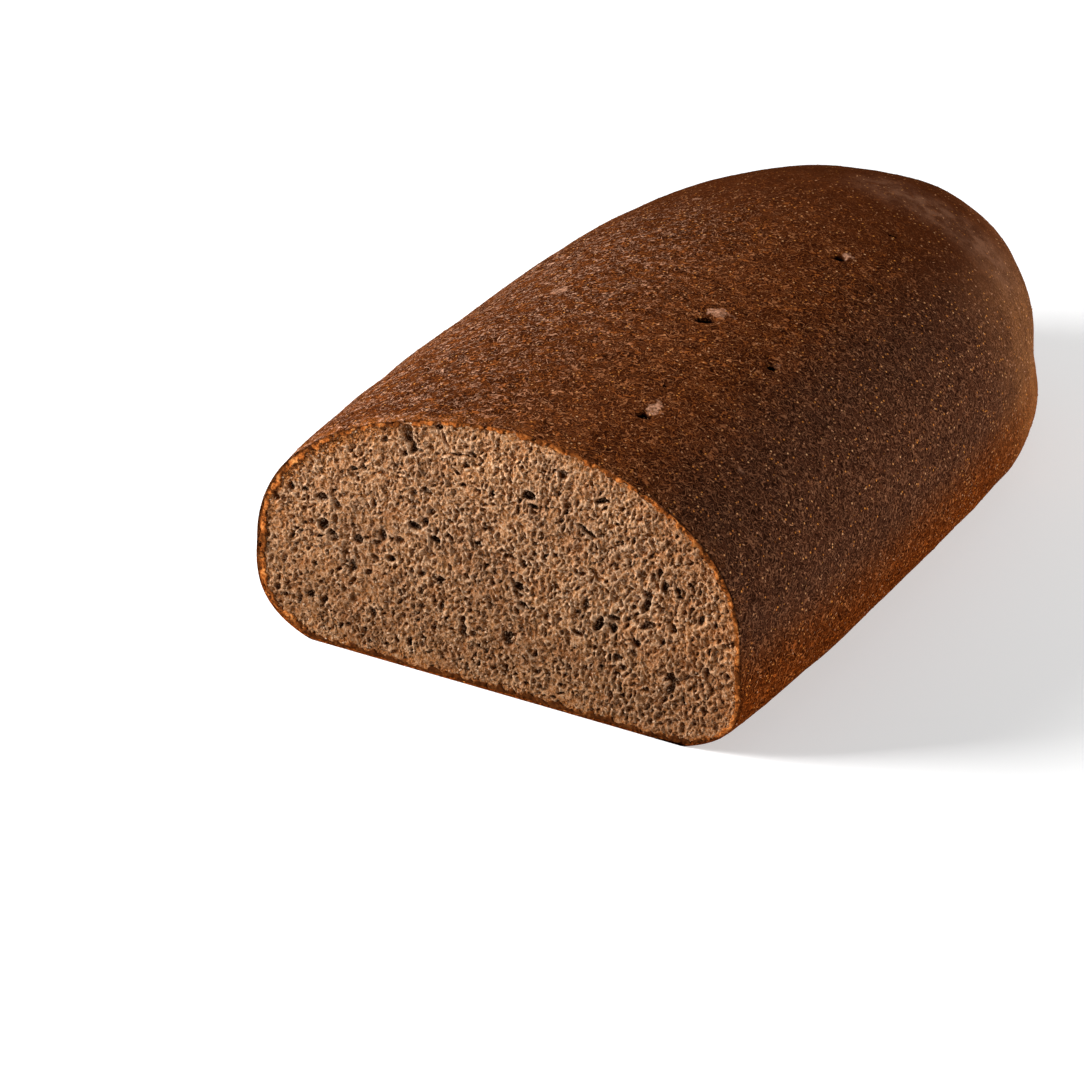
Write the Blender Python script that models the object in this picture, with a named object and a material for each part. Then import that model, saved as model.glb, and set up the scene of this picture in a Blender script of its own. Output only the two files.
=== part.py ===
"""A rye loaf, baked free on the hearth, with one end cut off and the cut side open.

Metres, +Z up. The origin is the middle of the base. +Y runs from the cut to the whole end.
"""

import math

import bmesh
import bpy
import numpy as np
from mathutils import Matrix, Vector, noise

MM = 0.001

# The loaf as a whole
WIDTH = 130.0 * MM
LENGTH = 206.0 * MM  # from the cut to the tip
CUT_HEIGHT = 64.5 * MM
RISE = 0.06  # how much higher the whole end is than the cut, as a share
SPREAD = 0.046  # how much wider, in the same way
SPREAD_FROM = 0.4  # the share of the length where the loaf has its plain width
RIDGE_SHIFT = 5.0 * MM  # the crown leans to +X by this much
RIDGE_EASE = 0.15  # the lean sets in over this share of the crown's height

# The section: a low dome on turned-in flanks and a flat base
BELLY = 23.5 * MM  # height of the widest line
FOOT = 50.0 * MM  # half the base's width
FOOT_LIFT = 0.4 * MM  # the foot's edge is turned up from the sole by this much
CROWN_POWER = 2.15
FLANK_POWER = 3.4

# The outline seen from above
WAIST = 66.0 * MM  # from the cut to the widest station
CROWN_PLAN_POWER = 2.6
FOOT_PLAN_POWER = 3.2
CROWN_DRAW = 1.13  # how far the tip draws in for each unit that the sides do
FOOT_DRAW = 0.9
TIP_SHARE = 0.62  # the tip's cap starts where the loaf is this share of its width

# The sole, the flat face that it rests on: its corners in order, x and y in mm
SOLE = ((-44.0, -98.0), (44.0, -98.0), (48.0, 4.0), (31.0, 83.0), (-31.0, 83.0), (-48.0, 4.0))

# Faces: a box of ROUND x STATIONS x ROUND small faces is shaped into the loaf
ROUND = 20
STATIONS = 36
CROWN_CORNERS = (math.radians(42), math.radians(138))  # the box's upper edges, seen from the belly line
FINE_CUTS = 1  # extra cuts in each face of the cut side
SHARP_ANGLE = math.radians(50)
RING_SAMPLES = 720
HALVINGS = 40
TINY = 0.001 * MM
OUTSIDE = 9.0

# Unevenness from shaping by hand: wave vector in radians per metre, phase, height
BASE_FADE = 6.0 * MM  # it fades to nothing this near the base
WAVES = (
    ((62.0, 38.0, 25.0), 0.4, 0.12 * MM),
    ((-45.0, 83.0, 40.0), 2.1, 0.10 * MM),
    ((95.0, -52.0, 70.0), 4.0, 0.09 * MM),
    ((30.0, 120.0, -85.0), 1.2, 0.07 * MM),
    ((-135.0, 70.0, 90.0), 5.2, 0.06 * MM),
)
# Broad dents and swellings of the crust: place, radius, depth (below zero swells), in mm
DENTS = (
    ((60.0, 42.0, 9.0), 12.0, -1.0),
    ((62.0, 16.0, 8.0), 9.0, -0.4),
    ((57.0, -93.0, 5.0), 11.0, -0.4),
    ((-63.0, -100.0, 19.0), 7.0, -0.6),
    ((-54.0, -95.0, 42.0), 10.0, -0.35),
    ((-52.0, -60.0, 47.0), 8.0, 0.8),
    ((-50.0, -25.0, 49.0), 22.0, 0.4),
    ((-44.0, 28.0, 52.0), 13.0, -0.45),
    ((-18.0, 64.0, 60.0), 13.0, 0.6),
    ((18.0, 82.0, 54.0), 15.0, -0.7),
    ((44.0, 78.0, 40.0), 10.0, 0.6),
    ((55.0, 64.0, 12.0), 14.0, -0.9),
    ((47.0, 82.0, 20.0), 11.0, -0.5),
)
# Holes pricked before baking: place from above, radius, depth, in mm
PRICKS = (
    ((15.3, -33.0), 2.4, 7.0),
    ((24.3, -79.0), 1.9, 6.0),
    ((35.6, -41.5), 1.4, 4.5),
    ((25.2, 13.6), 1.7, 5.0),
    ((-32.4, -74.0), 1.1, 2.5),
    ((29.1, 33.7), 1.1, 2.0),
)
# Larger holes in the crumb, on the cut side: x, z, half width, half height, depth, in mm
PORES = (
    (-43.2, 39.2, 1.5, 1.1, 3.0),
    (-42.6, 33.9, 1.3, 1.4, 3.0),
    (-18.7, 37.2, 1.5, 0.9, 3.0),
    (-13.7, 34.8, 1.3, 1.1, 3.0),
    (9.9, 50.2, 1.5, 1.2, 3.5),
    (25.1, 46.9, 2.6, 0.7, 3.5),
    (29.3, 54.5, 1.7, 0.8, 3.0),
    (7.1, 30.5, 1.5, 1.3, 3.0),
    (27.6, 28.7, 1.1, 1.8, 3.0),
    (38.0, 24.0, 1.7, 1.0, 3.0),
    (47.2, 40.4, 1.1, 1.8, 3.0),
    (-32.0, 26.0, 1.3, 1.1, 2.5),
    (-5.0, 17.0, 1.4, 1.0, 2.5),
    (52.8, 22.0, 1.1, 1.6, 3.0),
)
# Tears at the rim of the cut, one of them running down into the crumb, in the same terms
TEARS = (
    (-20.8, 58.6, 2.0, 1.6, 3.5),
    (-19.6, 54.6, 1.0, 2.4, 2.5),
    (-12.6, 62.6, 1.4, 0.9, 3.0),
)
CRUMB_RELIEF = 1.3 * MM
CRUMB_GRAIN = 3.1 * MM
RIM_STAYS = 1.2 * MM  # no relief this near the rim
CUTTER_SIDES = 7
CUTTER_POINT = 0.2  # a cutter's inner end, as a share of its radius at the surface
CUTTER_CLEAR = 1.5 * MM  # how far a cutter stands out of the crust

# Colours, as linear red, green and blue
CRUST_COLOUR = (0.075, 0.030, 0.014)
CRUST_ROUGHNESS = 0.55
CRUMB_COLOUR = (0.26, 0.145, 0.075)
CRUMB_ROUGHNESS = 0.9

HALF = WIDTH / 2
REACH = LENGTH - WAIST
CROWN = CUT_HEIGHT - BELLY
FLANK = BELLY / (1 - (FOOT / HALF) ** FLANK_POWER) ** (1 / FLANK_POWER)


def outline_at(z):
    """The loaf's outline at height z: half width, half length, power and sideways shift."""
    over = np.clip((z - BELLY) / CROWN, 0, 1)
    under = np.clip((BELLY - z) / FLANK, 0, 1)
    crown = (1 - over**CROWN_POWER) ** (1 / CROWN_POWER)
    flank = (1 - under**FLANK_POWER) ** (1 / FLANK_POWER)
    upper = z >= BELLY
    share = np.where(upper, crown, flank)
    draw = np.where(upper, CROWN_DRAW, FOOT_DRAW)
    down = np.clip(1 - z / BELLY, 0, 1)
    power = CROWN_PLAN_POWER + (FOOT_PLAN_POWER - CROWN_PLAN_POWER) * down**2 * (3 - 2 * down)
    half_length = np.maximum(REACH - HALF * (1 - share) * draw, TINY)
    lean = (np.hypot(over, RIDGE_EASE) - RIDGE_EASE) / (math.hypot(1, RIDGE_EASE) - RIDGE_EASE)
    return np.maximum(HALF * share, TINY), half_length, power, RIDGE_SHIFT * lean


def filled(x, from_cut, z):
    """Under 1 inside the loaf and over 1 outside it, before it rises and spreads."""
    half_width, half_length, power, shift = outline_at(z)
    across = (np.abs(x - shift) / half_width) ** power
    along = (np.abs(from_cut - WAIST) / half_length) ** power
    return np.where((z < 0) | (z > CUT_HEIGHT), OUTSIDE, across + along)


def section(from_cut):
    """Four sides of the section there, base, +X, crown and -X, as evenly spaced (x, z) points."""
    corners = np.array([-math.pi + math.atan2(BELLY, FOOT), -math.atan2(BELLY, FOOT)])
    corners = np.append(corners, [*CROWN_CORNERS, corners[0] + math.tau])
    angle = np.linspace(corners[0], corners[0] + math.tau, RING_SAMPLES)
    low, high = np.zeros(RING_SAMPLES), np.full(RING_SAMPLES, WIDTH)
    for _ in range(HALVINGS):
        middle = (low + high) / 2
        inside = filled(middle * np.cos(angle), from_cut, BELLY + middle * np.sin(angle)) < 1
        low, high = np.where(inside, middle, low), np.where(inside, high, middle)
    x, z = low * np.cos(angle), BELLY + low * np.sin(angle)
    run = np.append(0, np.cumsum(np.hypot(np.diff(x), np.diff(z))))
    sides = []
    for start, end in zip(corners[:-1], corners[1:]):
        even = np.linspace(np.interp(start, angle, run), np.interp(end, angle, run), ROUND + 1)
        sides.append(np.column_stack([np.interp(even, run, x), np.interp(even, run, z)]))
    return sides


def patch(sides):
    """Fills a section with a grid of (x, z) points, blended from its four sides."""
    base, right, crown, left = sides[0], sides[1], sides[2][::-1], sides[3][::-1]
    s = np.linspace(0, 1, ROUND + 1)
    u, w = s[:, None, None], s[None, :, None]
    ruled = (1 - w) * base[:, None] + w * crown[:, None] + (1 - u) * left[None] + u * right[None]
    corners = (1 - u) * ((1 - w) * base[0] + w * crown[0]) + u * ((1 - w) * base[-1] + w * crown[-1])
    return ruled - corners


def stations():
    """Where the rings lie, from the cut to where the tip's cap starts, evenly along the flank."""
    last = WAIST + REACH * (1 - TIP_SHARE**CROWN_PLAN_POWER) ** (1 / CROWN_PLAN_POWER)
    y = np.linspace(0, last, RING_SAMPLES)
    x = HALF * (1 - (np.abs(y - WAIST) / REACH) ** CROWN_PLAN_POWER) ** (1 / CROWN_PLAN_POWER)
    run = np.append(0, np.cumsum(np.hypot(np.diff(x), np.diff(y))))
    return np.interp(np.linspace(0, run[-1], STATIONS + 1), run, y)


def tip_reach(x, z):
    """How far from the cut the tip's surface is, over the point (x, z) of its cap."""
    half_width, half_length, power, shift = outline_at(z)
    across = np.clip(np.abs(x - shift) / half_width, 0, 1) ** power
    return WAIST + half_length * (1 - across) ** (1 / power)


def box_of_faces():
    """A box whose vertices lie at whole numbers, 0 to ROUND, STATIONS and ROUND."""
    bm = bmesh.new()
    bmesh.ops.create_cube(bm, size=1.0, matrix=Matrix.Translation((0.5, 0.5, 0.5)))
    for axis, count in enumerate((ROUND, STATIONS, ROUND)):
        along = [e for e in bm.edges if abs(e.verts[0].co[axis] - e.verts[1].co[axis]) > 0.5]
        bmesh.ops.subdivide_edges(bm, edges=along, cuts=count - 1, use_grid_fill=True)
    bmesh.ops.scale(bm, vec=(ROUND, STATIONS, ROUND), verts=bm.verts)
    return bm


def shape_loaf(bm):
    """Moves each vertex of the box to its place on the loaf."""
    reaches = stations()
    rings = [section(y) for y in reaches]
    cut, cap = patch(rings[0]), patch(rings[-1])
    for v in bm.verts:
        i, j, k = (round(c) for c in v.co)
        if j == 0:
            x, z, y = *cut[i, k], 0.0
        elif j == STATIONS:
            x, z = cap[i, k]
            edge = i in (0, ROUND) or k in (0, ROUND)
            y = reaches[-1] if edge else float(tip_reach(x, max(z, 0.0)))
        else:
            base, right, crown, left = rings[j]
            y = reaches[j]
            if k == 0:
                x, z = base[i]
            elif k == ROUND:
                x, z = crown[ROUND - i]
            else:
                x, z = right[k] if i == ROUND else left[ROUND - k]
        v.co = settle(x, y, z)


def settle(x, from_cut, z):
    """Puts a point of the plain form where the loaf has it, wider and higher to the whole end."""
    share = from_cut / LENGTH
    x *= 1 + SPREAD * (share - SPREAD_FROM)
    z *= 1 + RISE * share
    place = Vector((x, from_cut - LENGTH / 2, max(z, 0.0)))
    return place + outward(place) * unevenness(place)


def outward(place):
    """The way out of the loaf there: across the loaf, and round its tip. It is short near the core."""
    core_end = LENGTH / 2 - HALF
    away = place - Vector((0, min(place.y, core_end), BELLY))
    return away.normalized() * min(1.0, away.length / BELLY)


def unevenness(place):
    """How far the crust stands out there. It fades to nothing at the base."""
    height = sum(rise * math.sin(Vector(wave).dot(place) + phase) for wave, phase, rise in WAVES)
    for spot, radius, depth in DENTS:
        away = (place - Vector(spot) * MM).length / (radius * MM)
        height -= depth * MM * math.exp(-away * away)
    return height * min(1.0, place.z / BASE_FADE)


def roughen_cut(bm):
    """Splits the cut side's faces finer, and sinks them unevenly, as torn crumb is."""
    front = [f for f in bm.faces if all(v.co.y < -LENGTH / 2 + TINY for v in f.verts)]
    rim = {e for f in front for e in f.edges if not all(g in front for g in e.link_faces)}
    inner = {e for f in front for e in f.edges} - rim
    bmesh.ops.subdivide_edges(bm, edges=list(inner), cuts=FINE_CUTS, use_grid_fill=True)
    rim_points = [v.co.copy() for e in rim for v in e.verts]
    for v in bm.verts:
        if v.co.y > -LENGTH / 2 + TINY:
            continue
        near = min((v.co - p).length for p in rim_points)
        cell = noise.noise(v.co / CRUMB_GRAIN) * 0.5 + 0.5
        v.co.y += CRUMB_RELIEF * cell * min(1.0, max(0.0, near / RIM_STAYS - 1.0))


def flatten_base(bm):
    """Gives the base one flat sole with few corners, and turns its edge up a little to the foot."""
    under = [f for f in bm.faces if all(abs(v.co.z) < TINY / 10 for v in f.verts)]
    bmesh.ops.delete(bm, geom=under, context="FACES")
    foot = [e for e in bm.edges if len(e.link_faces) == 1]
    for v in {v for e in foot for v in e.verts}:
        v.co.z = FOOT_LIFT
    sole = bm.faces.new([bm.verts.new((x * MM, y * MM, 0.0)) for x, y in SOLE])
    bmesh.ops.bridge_loops(bm, edges=foot + list(sole.edges))


def crust_height(x, y):
    """The crust's height over a point of the loaf, for placing the pricks."""
    low, high = BELLY, CUT_HEIGHT
    share = (y + LENGTH / 2) / LENGTH
    plain_x = x / (1 + SPREAD * (share - SPREAD_FROM))
    for _ in range(HALVINGS):
        middle = (low + high) / 2
        inside = filled(plain_x, y + LENGTH / 2, np.array(middle)) < 1
        low, high = (middle, high) if inside else (low, middle)
    return low * (1 + RISE * share)


def cutter(name, place, turn, radius, depth, stretch=(1.0, 1.0)):
    """A cone that points into the loaf, its wide end standing out of the surface."""
    bm = bmesh.new()
    wide = radius * (1 + CUTTER_CLEAR / depth)
    bmesh.ops.create_cone(
        bm, cap_ends=True, segments=CUTTER_SIDES, radius1=CUTTER_POINT * radius, radius2=wide,
        depth=depth + CUTTER_CLEAR,
        matrix=Matrix.Translation((0, 0, (CUTTER_CLEAR - depth) / 2)),
    )
    bmesh.ops.scale(bm, vec=(stretch[0], stretch[1], 1.0), verts=bm.verts)
    mesh = bpy.data.meshes.new(name)
    bm.to_mesh(mesh)
    bm.free()
    obj = bpy.data.objects.new(name, mesh)
    obj.matrix_world = Matrix.Translation(place) @ turn
    obj.hide_render = True
    obj.display_type = "WIRE"
    return obj


def prick_cutters():
    """One cone for each prick, square to the crust."""
    made = []
    for n, ((x, y), radius, depth) in enumerate(PRICKS):
        x, y = x * MM, y * MM
        place = Vector((x, y, crust_height(x, y)))
        place += outward(place) * unevenness(place)
        rise_x = crust_height(x + MM, y) - crust_height(x - MM, y)
        rise_y = crust_height(x, y + MM) - crust_height(x, y - MM)
        normal = Vector((-rise_x, -rise_y, 2 * MM)).normalized()
        turn = normal.to_track_quat("Z", "Y").to_matrix().to_4x4()
        made.append(cutter(f"prick_cutter_{n}", place, turn, radius * MM, depth * MM))
    return made


def pore_cutters():
    """One flattened cone for each large hole or tear in the cut side."""
    face_on = Matrix.Rotation(math.radians(90), 4, "X")
    made = []
    for n, (x, z, across, up, depth) in enumerate(PORES + TEARS):
        place = Vector((x * MM, -LENGTH / 2, z * MM))
        stretch = (1.0, up / across)
        made.append(cutter(f"pore_cutter_{n}", place, face_on, across * MM, depth * MM, stretch))
    return made


def plain_material(name, colour, roughness):
    """A dull baked surface of one colour."""
    material = bpy.data.materials.new(name)
    material.use_nodes = True
    shader = material.node_tree.nodes["Principled BSDF"]
    shader.inputs["Base Color"].default_value = (*colour, 1.0)
    shader.inputs["Roughness"].default_value = roughness
    shader.inputs["Metallic"].default_value = 0.0
    return material


def clear_scene():
    for obj in list(bpy.data.objects):
        bpy.data.objects.remove(obj, do_unlink=True)


def new_collection(name):
    made = bpy.data.collections.new(name)
    bpy.context.scene.collection.children.link(made)
    return made


def build_loaf():
    """The whole loaf as one solid, with its cut side roughened and its pricks cut in."""
    bm = box_of_faces()
    shape_loaf(bm)
    roughen_cut(bm)
    flatten_base(bm)
    bmesh.ops.recalc_face_normals(bm, faces=bm.faces)
    front_y = -LENGTH / 2 + CRUMB_RELIEF
    for face in bm.faces:
        face.smooth = True
        face.material_index = int(all(v.co.y < front_y for v in face.verts))
    mesh = bpy.data.meshes.new("rye_loaf")
    bm.to_mesh(mesh)
    bm.free()
    mesh.set_sharp_from_angle(angle=SHARP_ANGLE)
    mesh.materials.append(plain_material("rye_crust", CRUST_COLOUR, CRUST_ROUGHNESS))
    mesh.materials.append(plain_material("rye_crumb", CRUMB_COLOUR, CRUMB_ROUGHNESS))
    return bpy.data.objects.new("rye_loaf", mesh)


def centre(loaf, others):
    """Moves everything level, so that the middle of the loaf's box is over the origin."""
    points = [v.co for v in loaf.data.vertices]
    x = -(min(p.x for p in points) + max(p.x for p in points)) / 2
    y = -(min(p.y for p in points) + max(p.y for p in points)) / 2
    shift = Matrix.Translation((x, y, 0))
    loaf.data.transform(shift)
    for obj in others:
        obj.matrix_world = shift @ obj.matrix_world


def main():
    clear_scene()
    loaf = build_loaf()
    new_collection("rye_bread").objects.link(loaf)
    cutters = new_collection("cutters")
    for obj in prick_cutters() + pore_cutters():
        cutters.objects.link(obj)
    centre(loaf, cutters.objects)
    holes = loaf.modifiers.new("holes", "BOOLEAN")
    holes.operation = "DIFFERENCE"
    holes.operand_type = "COLLECTION"
    holes.collection = cutters
    holes.solver = "EXACT"


main()
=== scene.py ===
"""A rye loaf with one end cut off: a dark grained crust, an open crumb, and bran on the crust.

Metres, +Z up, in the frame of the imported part: +Y runs from the cut to the whole end.
"""

import math
from functools import partial, reduce
from itertools import product

import bmesh
import bpy
import numpy as np
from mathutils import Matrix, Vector


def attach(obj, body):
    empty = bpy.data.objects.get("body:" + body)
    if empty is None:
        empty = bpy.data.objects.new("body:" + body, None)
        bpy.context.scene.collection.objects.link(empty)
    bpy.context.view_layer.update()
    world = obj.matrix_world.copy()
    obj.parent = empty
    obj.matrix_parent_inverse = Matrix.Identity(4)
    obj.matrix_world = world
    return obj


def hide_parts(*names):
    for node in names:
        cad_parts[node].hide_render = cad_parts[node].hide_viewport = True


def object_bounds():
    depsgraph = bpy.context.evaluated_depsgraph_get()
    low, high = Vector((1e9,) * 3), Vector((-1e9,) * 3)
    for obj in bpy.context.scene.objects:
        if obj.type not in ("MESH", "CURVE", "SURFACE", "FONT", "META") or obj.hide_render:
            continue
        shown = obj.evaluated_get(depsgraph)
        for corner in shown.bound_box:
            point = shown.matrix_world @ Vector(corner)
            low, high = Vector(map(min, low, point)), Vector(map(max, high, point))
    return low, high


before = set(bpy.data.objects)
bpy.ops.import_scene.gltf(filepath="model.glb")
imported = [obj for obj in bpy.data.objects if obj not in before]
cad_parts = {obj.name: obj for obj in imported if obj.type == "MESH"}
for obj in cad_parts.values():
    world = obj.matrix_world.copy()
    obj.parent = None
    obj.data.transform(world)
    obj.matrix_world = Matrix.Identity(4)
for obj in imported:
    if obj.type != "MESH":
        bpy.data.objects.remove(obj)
CAD_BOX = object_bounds()

MM = 0.001

# The loaf's form, as its solid has it
WIDTH = 130.0 * MM
LENGTH = 206.0 * MM
CUT_HEIGHT = 64.5 * MM
RISE = 0.06
SPREAD = 0.046
SPREAD_FROM = 0.4
RIDGE_SHIFT = 5.0 * MM
RIDGE_EASE = 0.15
BELLY = 23.5 * MM
FOOT = 50.0 * MM
CROWN_POWER = 2.15
FLANK_POWER = 3.4
WAIST = 66.0 * MM
CROWN_PLAN_POWER = 2.6
FOOT_PLAN_POWER = 3.2
CROWN_DRAW = 1.13
FOOT_DRAW = 0.9
TIP_SHARE = 0.62
CROWN_CORNERS = (math.radians(42), math.radians(138))
BASE_FADE = 6.0 * MM
HALF = WIDTH / 2
REACH = LENGTH - WAIST
CROWN = CUT_HEIGHT - BELLY
FLANK = BELLY / (1 - (FOOT / HALF) ** FLANK_POWER) ** (1 / FLANK_POWER)
RING_SAMPLES = 720
HALVINGS = 34
TINY = 0.001 * MM
OUTSIDE = 9.0

# Random numbers for the cells of space. A layer of them has a size, a share and a seed
DICE = 65536
PRIMES = (73856093, 19349663, 83492791)

# Unevenness from shaping by hand: wave vector in radians per metre, phase, height
WAVES = (
    ((62.0, 38.0, 25.0), 0.4, 0.12 * MM),
    ((-45.0, 83.0, 40.0), 2.1, 0.10 * MM),
    ((95.0, -52.0, 70.0), 4.0, 0.09 * MM),
    ((30.0, 120.0, -85.0), 1.2, 0.07 * MM),
    ((-135.0, 70.0, 90.0), 5.2, 0.06 * MM),
)
# Broad dents and swellings of the crust: place, radius, depth (below zero swells), in mm
DENTS = (
    ((60.0, 42.0, 9.0), 12.0, -1.0),
    ((62.0, 16.0, 8.0), 9.0, -0.4),
    ((57.0, -93.0, 5.0), 11.0, -0.4),
    ((-63.0, -100.0, 19.0), 7.0, -0.6),
    ((-54.0, -95.0, 42.0), 10.0, -0.35),
    ((-52.0, -60.0, 47.0), 8.0, 0.8),
    ((-50.0, -25.0, 49.0), 22.0, 0.4),
    ((-44.0, 28.0, 52.0), 13.0, -0.45),
    ((-18.0, 64.0, 60.0), 13.0, 0.6),
    ((18.0, 82.0, 54.0), 15.0, -0.7),
    ((44.0, 78.0, 40.0), 10.0, 0.6),
    ((55.0, 64.0, 12.0), 14.0, -0.9),
    ((47.0, 82.0, 20.0), 11.0, -0.5),
)

# The crust's mesh: points along the base or crown, up a flank, and from the cut to the tip's cap
ACROSS = 120
UP = 76
STATIONS = 250
LUMPS = ((9.0 * MM, 0.10 * MM, 40), (4.2 * MM, 0.07 * MM, 41), (1.9 * MM, 0.045 * MM, 42))
CRUST_THICK = 1.3 * MM
LIP = 0.3
LEDGE = 0.6 * MM
WALL = 6.0 * MM
THICKER_LEFT = 0.6
THICK_NOISE = ((7.0 * MM, 0.30, 21), (1.9 * MM, 0.30, 22), (0.8 * MM, 0.32, 23))
TORN_LUMPS = 0.16 * MM
TORN_NOISE = ((1.3 * MM, 0.5, 33), (0.6 * MM, 0.35, 34))
PRICK_NOISE = ((1.1 * MM, 0.28, 31),)
DIMPLE = 0.35 * MM
SPLIT_PRICKS = 6
SPLIT_RADII = (5.0 * MM, 3.2 * MM)
KEPT_WHOLE = 0.5 * MM
BARE_CROWN = 0.8

# The crust's own edge at the cut, a ragged ring: points along the base or crown, and up a flank
RIM_ACROSS = 560
RIM_UP = 330
RIM_ROWS = 7
RIM_BACK = 1.7 * MM
RIM_UNDER_SKIN = 0.06 * MM
RIM_RAGGED = 0.16 * MM
RAGGED_MIDDLE = 1.4
RAGGED_NOISE = ((0.55 * MM, 1.0, 51), (1.5 * MM, 0.9, 52))
RIM_NOTCHES = ((-21.2, 1.7), (-13.0, 1.1))
NOTCH_DEPTH = 1.5 * MM
NICK_DEPTH = 0.75 * MM
RIM_ROUND = 0.25 * MM
RIM_NARROWED = 0.9

# Pricks: x, y, half length, half width, turn in degrees, depth, in mm
PRICKS = (
    (15.3, -34.4, 2.2, 1.15, 28.0, 4.5),
    (24.3, -79.7, 1.5, 1.05, 20.0, 4.0),
    (35.6, -41.7, 1.0, 0.8, 10.0, 2.5),
    (25.0, 13.2, 1.5, 0.95, 20.0, 3.5),
    (29.1, 33.7, 0.9, 0.4, 15.0, 1.2),
    (-32.4, -74.0, 0.7, 0.45, 0.0, 1.2),
    (46.4, -80.3, 0.5, 0.4, 0.0, 0.8),
    (22.5, -66.5, 0.5, 0.4, 30.0, 0.6),
)
# Torn pale places beside the pricks and on bumps: x, y, radius along x, radius along y, strength
TORN = (
    (16.3, -30.0, 2.9, 2.3, 1.0),
    (25.0, -76.2, 1.5, 2.2, 0.9),
    (25.9, 15.6, 1.8, 1.3, 0.8),
    (36.1, -40.0, 1.0, 0.9, 0.35),
    (-23.7, -30.9, 2.6, 2.0, 0.75),
    (-37.8, -12.5, 3.2, 1.0, 0.45),
    (-21.3, 30.5, 1.8, 1.0, 0.5),
    (-18.3, 6.1, 1.3, 1.3, 0.45),
    (-4.1, -12.5, 2.8, 0.8, 0.4),
    (46.6, -78.4, 0.9, 0.7, 0.45),
)

# The crumb's mesh and its cells. It is made in strips, side by side
CRUMB_ACROSS = 690
CRUMB_UP = 396
STRIPS = (("crumb_left", 0, 230), ("crumb_middle", 230, 460), ("crumb_right", 460, 690))
CRUMB_BACK = 5.0 * MM
CRUMB_UNDER_RIM = 0.35 * MM
CRUMB_SUNK = 0.12 * MM
RASTER = 0.1 * MM
COARSE = 1.0 * MM
RASTER_LEFT = -70.0 * MM
RASTER_SIZE = (1400, 690)
MEMBRANES = ((1.35 * MM, 0.06, 0.34, 1.0), (0.8 * MM, 0.04, 0.24, 0.5))
CREST = 0.34
CREST_NOISE = ((0.9 * MM, 0.17, 71), (3.3 * MM, 0.16, 72), (11 * MM, 0.12, 73))
BENT = 0.38 * MM
BENDS = ((1.6 * MM, 76), (1.1 * MM, 77), (1.6 * MM, 78))
CELLS_TALL = (0.80, 0.58)
BUBBLES_PER_MM3 = 0.16
BUBBLE_MIDDLE = 0.50
BUBBLE_SPREAD = 0.38
BUBBLE_LIMITS = (0.3, 1.3)
BUBBLE_WALL = 0.08
BUBBLE_SLAB = (-0.7, 1.2)
BUBBLE_PATCHES = ((12 * MM, 0.16, 61),)
BUBBLE_AT_RIM = 0.6
BUBBLE_LONG = 0.75
BUBBLE_LONG_POWER = 1.3
BUBBLE_TURNS = ((16 * MM, 1.2, 62),)
BUBBLE_TURN_SPREAD = 0.7
RIM_TURN_SPREAD = 0.25
RIM_TURN_REACH = 5
FLOOR_DEPTH = 0.30
FLOOR_POWER = 1.8
TORN_WALL = 0.6
CALM = 0.5
CALM_SIZE = 3.6 * MM
OPEN_RIGHT = 1.2
SHALLOW_AT_RIM = 0.55
RIDGES = 0.12
RIM_DEPTH = 0.35
RIM_BLEND = (0.7, 1.4)
LEAN = 0.4
SAG = 0.10
MIDDLE_DEPTH = 0.5
HOLE_GROWTH = 1.25
RELIEF_REACH = 7
CUT_PASSES = 2
DEEPEST = 3.6
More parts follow.
